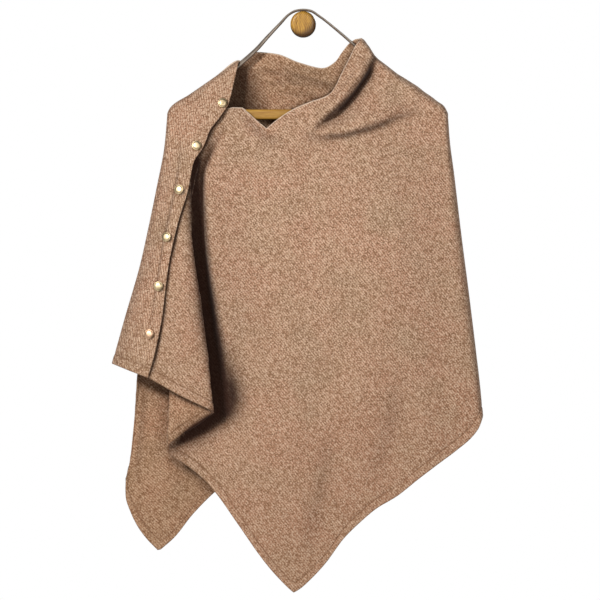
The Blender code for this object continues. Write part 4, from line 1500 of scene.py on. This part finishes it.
def addStrap(finish):
    # A ribbon swept along the strap's middle line, rounded at its edges and a little twisted.
    marks = np.stack([column(strapLine, "across"), column(strapLine, "down")], axis=1)
    lengths = np.concatenate([[0], np.cumsum(np.linalg.norm(np.diff(marks, axis=0), axis=1))])
    share = np.linspace(0, 1, strapSpec["points"])
    marks = smooth(lengths, marks, share * lengths[-1])
    line = np.stack([(marks[:, 0] - pegAcross) * step, (pegDown - marks[:, 1]) * step], axis=1)
    lean = np.gradient(line, axis=0)
    lean /= np.linalg.norm(lean, axis=1)[:, None]
    outward = np.stack([-lean[:, 1], lean[:, 0]], axis=1)
    twist = np.interp(marks[:, 0], *strapSpec["twist"])
    twist = np.radians(twist * np.interp(marks[:, 0], *strapSpec["shown"]))
    halfThick = strapThick / 2 - strapSpec["inset"]
    halfWide = strapWidth / 2 - strapSpec["inset"]
    r = strapSpec["round"]
    profile = []
    for cx, cy, first in (
        (halfWide - r, halfThick - r, 0), (-(halfWide - r), halfThick - r, 90),
        (-(halfWide - r), -(halfThick - r), 180), (halfWide - r, -(halfThick - r), 270),
    ):
        for turn in np.radians(np.linspace(first, first + 90, strapSpec["cornerPoints"])):
            profile.append((cx + r * math.cos(turn), cy + r * math.sin(turn)))
    vertices = []
    for k in range(len(line)):
        cosT = math.cos(twist[k])
        sinT = math.sin(twist[k])
        for wide, thick in profile:
            a = wide * cosT - thick * sinT
            b = wide * sinT + thick * cosT
            x, z = line[k] + outward[k] * b
            vertices.append((x, -seamDepth / 1000 + a, z))
    count = len(profile)
    faces = []
    for k in range(len(line) - 1):
        for m in range(count):
            n = (m + 1) % count
            faces.append((k * count + m, k * count + n, (k + 1) * count + n, (k + 1) * count + m))
    faces.append(tuple(range(count))[::-1])
    faces.append(tuple(range((len(line) - 1) * count, len(line) * count)))
    mesh = bpy.data.meshes.new(strapSpec["name"])
    mesh.from_pydata(vertices, [], faces)
    faceOutward(mesh)
    mesh.shade_smooth()
    mesh.materials.append(finish)
    ply = mesh.attributes.new("ply", "FLOAT", "POINT")
    ply.data.foreach_set("value", [thick / halfThick for _ in line for _, thick in profile])
    made = bpy.data.objects.new(strapSpec["name"], mesh)
    looks.objects.link(made)
    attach(made, "root")
    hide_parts("hanger_strap")
    return made


# Profile of the button in shares of its radius and height; the painted shade lies on the side
# that its way points to, in shares of x and z.
buttonSpec = {
    "steps": 56,
    "profile": (
        (0.0, 1.0), (0.2, 0.995), (0.4, 0.98), (0.55, 0.955), (0.66, 0.91), (0.735, 0.85),
        (0.78, 0.79), (0.815, 0.75), (0.85, 0.74), (0.89, 0.745), (0.94, 0.7), (0.98, 0.58),
        (1.0, 0.43), (0.985, 0.28), (0.94, 0.16), (0.86, 0.11), (0.6, 0.09), (0.3, 0.085),
        (0.28, 0.0), (0.0, 0.0),
    ),
    "mergeWithin": 0.00004,
    "smooth": 50,
    "lift": 0.0004,
    "places": (0.3, 1, 36),
    "heights": (0, 1, 121),
    "buttonShadeWay": (0.86, -0.5),
    "buttonShadeStart": 0.25,
    "buttonShadeGain": 1.7,
}


def wrapFrame(across, down):
    # Point on the wrap's outer face over a place in the picture, and its normal.
    places = np.linspace(*buttonSpec["places"])
    heights = np.linspace(*buttonSpec["heights"])
    grid = wrapSurface(places, heights)
    far = np.hypot(grid[..., 0] - across, grid[..., 1] - down)
    i, j = np.unravel_index(np.argmin(far), far.shape)
    i = min(max(i, 2), len(heights) - 3)
    j = min(max(j, 2), len(places) - 3)
    solid = metres(grid)
    lengthways = Vector(solid[i + 2, j] - solid[i - 2, j])
    crossways = Vector(solid[i, j + 2] - solid[i, j - 2])
    normal = crossways.cross(lengthways).normalized()
    if normal.y > 0:
        normal.negate()
    return Vector(solid[i, j]), normal


def addFirstButton(finish):
    # The profile is spun round Z once, and its doubles merged.
    startFresh()
    mesh = bpy.data.meshes.new("buttonProfile")
    points = [(r * buttonRadius, 0, h * buttonHeight) for r, h in buttonSpec["profile"]]
    mesh.from_pydata(points, [(k, k + 1) for k in range(len(points) - 1)], [])
    made = bpy.data.objects.new("buttonModel", mesh)
    bpy.context.scene.collection.objects.link(made)
    made.select_set(True)
    bpy.context.view_layer.objects.active = made
    bpy.ops.object.mode_set(mode="EDIT")
    bpy.ops.mesh.select_all(action="SELECT")
    bpy.ops.mesh.spin(steps=buttonSpec["steps"], angle=2 * math.pi, center=(0, 0, 0), axis=(0, 0, 1))
    bpy.ops.mesh.select_all(action="SELECT")
    bpy.ops.mesh.remove_doubles(threshold=buttonSpec["mergeWithin"])
    bpy.ops.mesh.normals_make_consistent(inside=False)
    bpy.ops.object.mode_set(mode="OBJECT")
    bpy.ops.object.shade_smooth_by_angle(angle=math.radians(buttonSpec["smooth"]))
    made.data.materials.clear()
    made.data.materials.append(finish)
    return made


def buttonShadeAt(offset):
    # Painted shade on the lower right of each button's rim.
    sideways, upwards = buttonSpec["buttonShadeWay"]
    reach = (offset.x * sideways + offset.z * upwards) / buttonRadius
    return min(max((reach - buttonSpec["buttonShadeStart"]) * buttonSpec["buttonShadeGain"], 0), 1)


def addButtons(finish, roseReflectionFinish):
    model = addFirstButton(finish)
    placed = []
    for name, across, down in buttons[1:]:
        point, normal = wrapFrame(across, down)
        mesh = model.data.copy()
        mesh.name = "goldButton" + name[-1]
        turn = Vector((0, 0, 1)).rotation_difference(normal).to_matrix().to_4x4()
        lift = normal * (clothWall / 2 + buttonSpec["lift"])
        mesh.transform(Matrix.Translation(point + lift) @ turn)
        # Painted shade on the lower right of the button's rim.
        buttonShade = mesh.attributes.new("buttonShade", "FLOAT", "POINT")
        buttonShade.data.foreach_set("value", [buttonShadeAt(vertex.co - point) for vertex in mesh.vertices])
        # The sixth button's rosier metal is a painted reflection of the rose cloth.
        if name.endswith("6"):
            mesh.materials.clear()
            mesh.materials.append(roseReflectionFinish)
        made = bpy.data.objects.new(mesh.name, mesh)
        looks.objects.link(made)
        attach(made, "root")
        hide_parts("button_" + name[-1])
        placed.append(made)
    bpy.data.objects.remove(model, do_unlink=True)
    return placed


photoView = {
    "across": 300.0,
    "down": 300.0,
    "width": 0.96,
    "plane": -0.08,
    "distance": 24.0,
}


def addCamera():
    data = bpy.data.cameras.new("photoCamera")
    data.lens = 36.0 * photoView["distance"] / photoView["width"]
    data.sensor_width = 36.0
    data.clip_end = 50.0
    camera = bpy.data.objects.new("photoCamera", data)
    camera.location = (
        (photoView["across"] - pegAcross) * step,
        photoView["plane"] - photoView["distance"],
        (pegDown - photoView["down"]) * step,
    )
    camera.rotation_euler = (math.radians(90), 0, 0)
    bpy.context.scene.collection.objects.link(camera)
    bpy.context.scene.camera = camera


# Watts, metres and the point that every lamp looks at.
lamps = (
    {"name": "keyLight", "place": (-3.5, -5.9, 2.3), "size": 1.0, "power": 420},
    {"name": "frontLight", "place": (1.6, -5.0, 0.4), "size": 1.4, "power": 75},
    {"name": "backLight", "place": (2.8, 5.4, 1.6), "size": 2.0, "power": 190},
)
lampAim = (0, -0.08, -0.4)
roomLight = 0.1


def addLights():
    for lamp in lamps:
        data = bpy.data.lights.new(lamp["name"], "AREA")
        data.size = lamp["size"]
        data.energy = lamp["power"]
        made = bpy.data.objects.new(lamp["name"], data)
        made.location = lamp["place"]
        aim = Vector(lampAim) - Vector(lamp["place"])
        made.rotation_euler = aim.to_track_quat("-Z", "Y").to_euler()
        bpy.context.scene.collection.objects.link(made)
    world = bpy.data.worlds.new("paleRoom")
    world.use_nodes = True
    tree = world.node_tree
    lit = tree.nodes["Background"]
    lit.inputs["Color"].default_value = (1, 1, 1, 1)
    lit.inputs["Strength"].default_value = roomLight
    seen = tree.nodes.new("ShaderNodeBackground")
    seen.inputs["Color"].default_value = (1, 1, 1, 1)
    seen.inputs["Strength"].default_value = 1.0
    path = tree.nodes.new("ShaderNodeLightPath")
    both = tree.nodes.new("ShaderNodeMixShader")
    tree.links.new(path.outputs["Is Camera Ray"], both.inputs["Fac"])
    tree.links.new(lit.outputs["Background"], both.inputs[1])
    tree.links.new(seen.outputs["Background"], both.inputs[2])
    tree.links.new(both.outputs["Shader"], tree.nodes["World Output"].inputs["Surface"])
    bpy.context.scene.world = world
    bpy.context.scene.view_settings.view_transform = "Standard"


floorSpec = {"size": 5, "place": (0, -2.0, -1.05)}


def addFloor(finish):
    startFresh()
    bpy.ops.mesh.primitive_plane_add(size=floorSpec["size"], location=floorSpec["place"])
    floor = bpy.context.object
    floor.name = "paleFloor"
    floor.data.materials.append(finish)


looks = bpy.data.collections.new("looks")
bpy.context.scene.collection.children.link(looks)

addCamera()
addLights()
addFloor(paleMaterial())
print("camera, light and floor set")

knit = knitMaterial("knitCloth", (1.0, 1.0, 1.0))
# Inner faces take a darker, yellower copy of the knit; its darkening is painted shade.
knitInsideShaded = knitMaterial("knitInsideShaded", (0.9, 0.86, 0.8))
pegWood = woodMaterial(
    "pegWood",
    (260.0, 60.0, 26.0),
    ((0.2, 0.085, 0.01), (0.38, 0.185, 0.026), (0.54, 0.29, 0.045)),
    0.3,
    ringsAndRimShade=True,
)
barWood = woodMaterial(
    "barWood",
    (20.0, 240.0, 240.0),
    ((0.24, 0.1, 0.014), (0.38, 0.19, 0.028), (0.5, 0.275, 0.048)),
    0.36,
)
leather = leatherMaterial()
gold = goldMaterial("paleGold", (0.5, 0.37, 0.2), (0.66, 0.52, 0.33))
# The sixth button's rosier metal is a painted reflection of the rose cloth.
roseReflectionGold = goldMaterial("goldWithPaintedReflection", (0.55, 0.32, 0.19), (0.74, 0.5, 0.33))
print("materials made")

addBar(barWood)
addPeg(pegWood)
addStrap(leather)
placedButtons = addButtons(gold, roseReflectionGold)
print("hanger, peg and buttons modelled")

nearPicture = nearestCloth()
knits = (knit, knitInsideShaded)
front = clothShell(clothFront, looks, knits, nearPicture)
print("front cloth", len(front.data.polygons))
back = clothShell(clothBack, looks, knits, nearPicture)
wrap = clothShell(clothWrap, looks, knits, nearPicture)
print("back and wrap cloth", len(back.data.polygons), len(wrap.data.polygons))
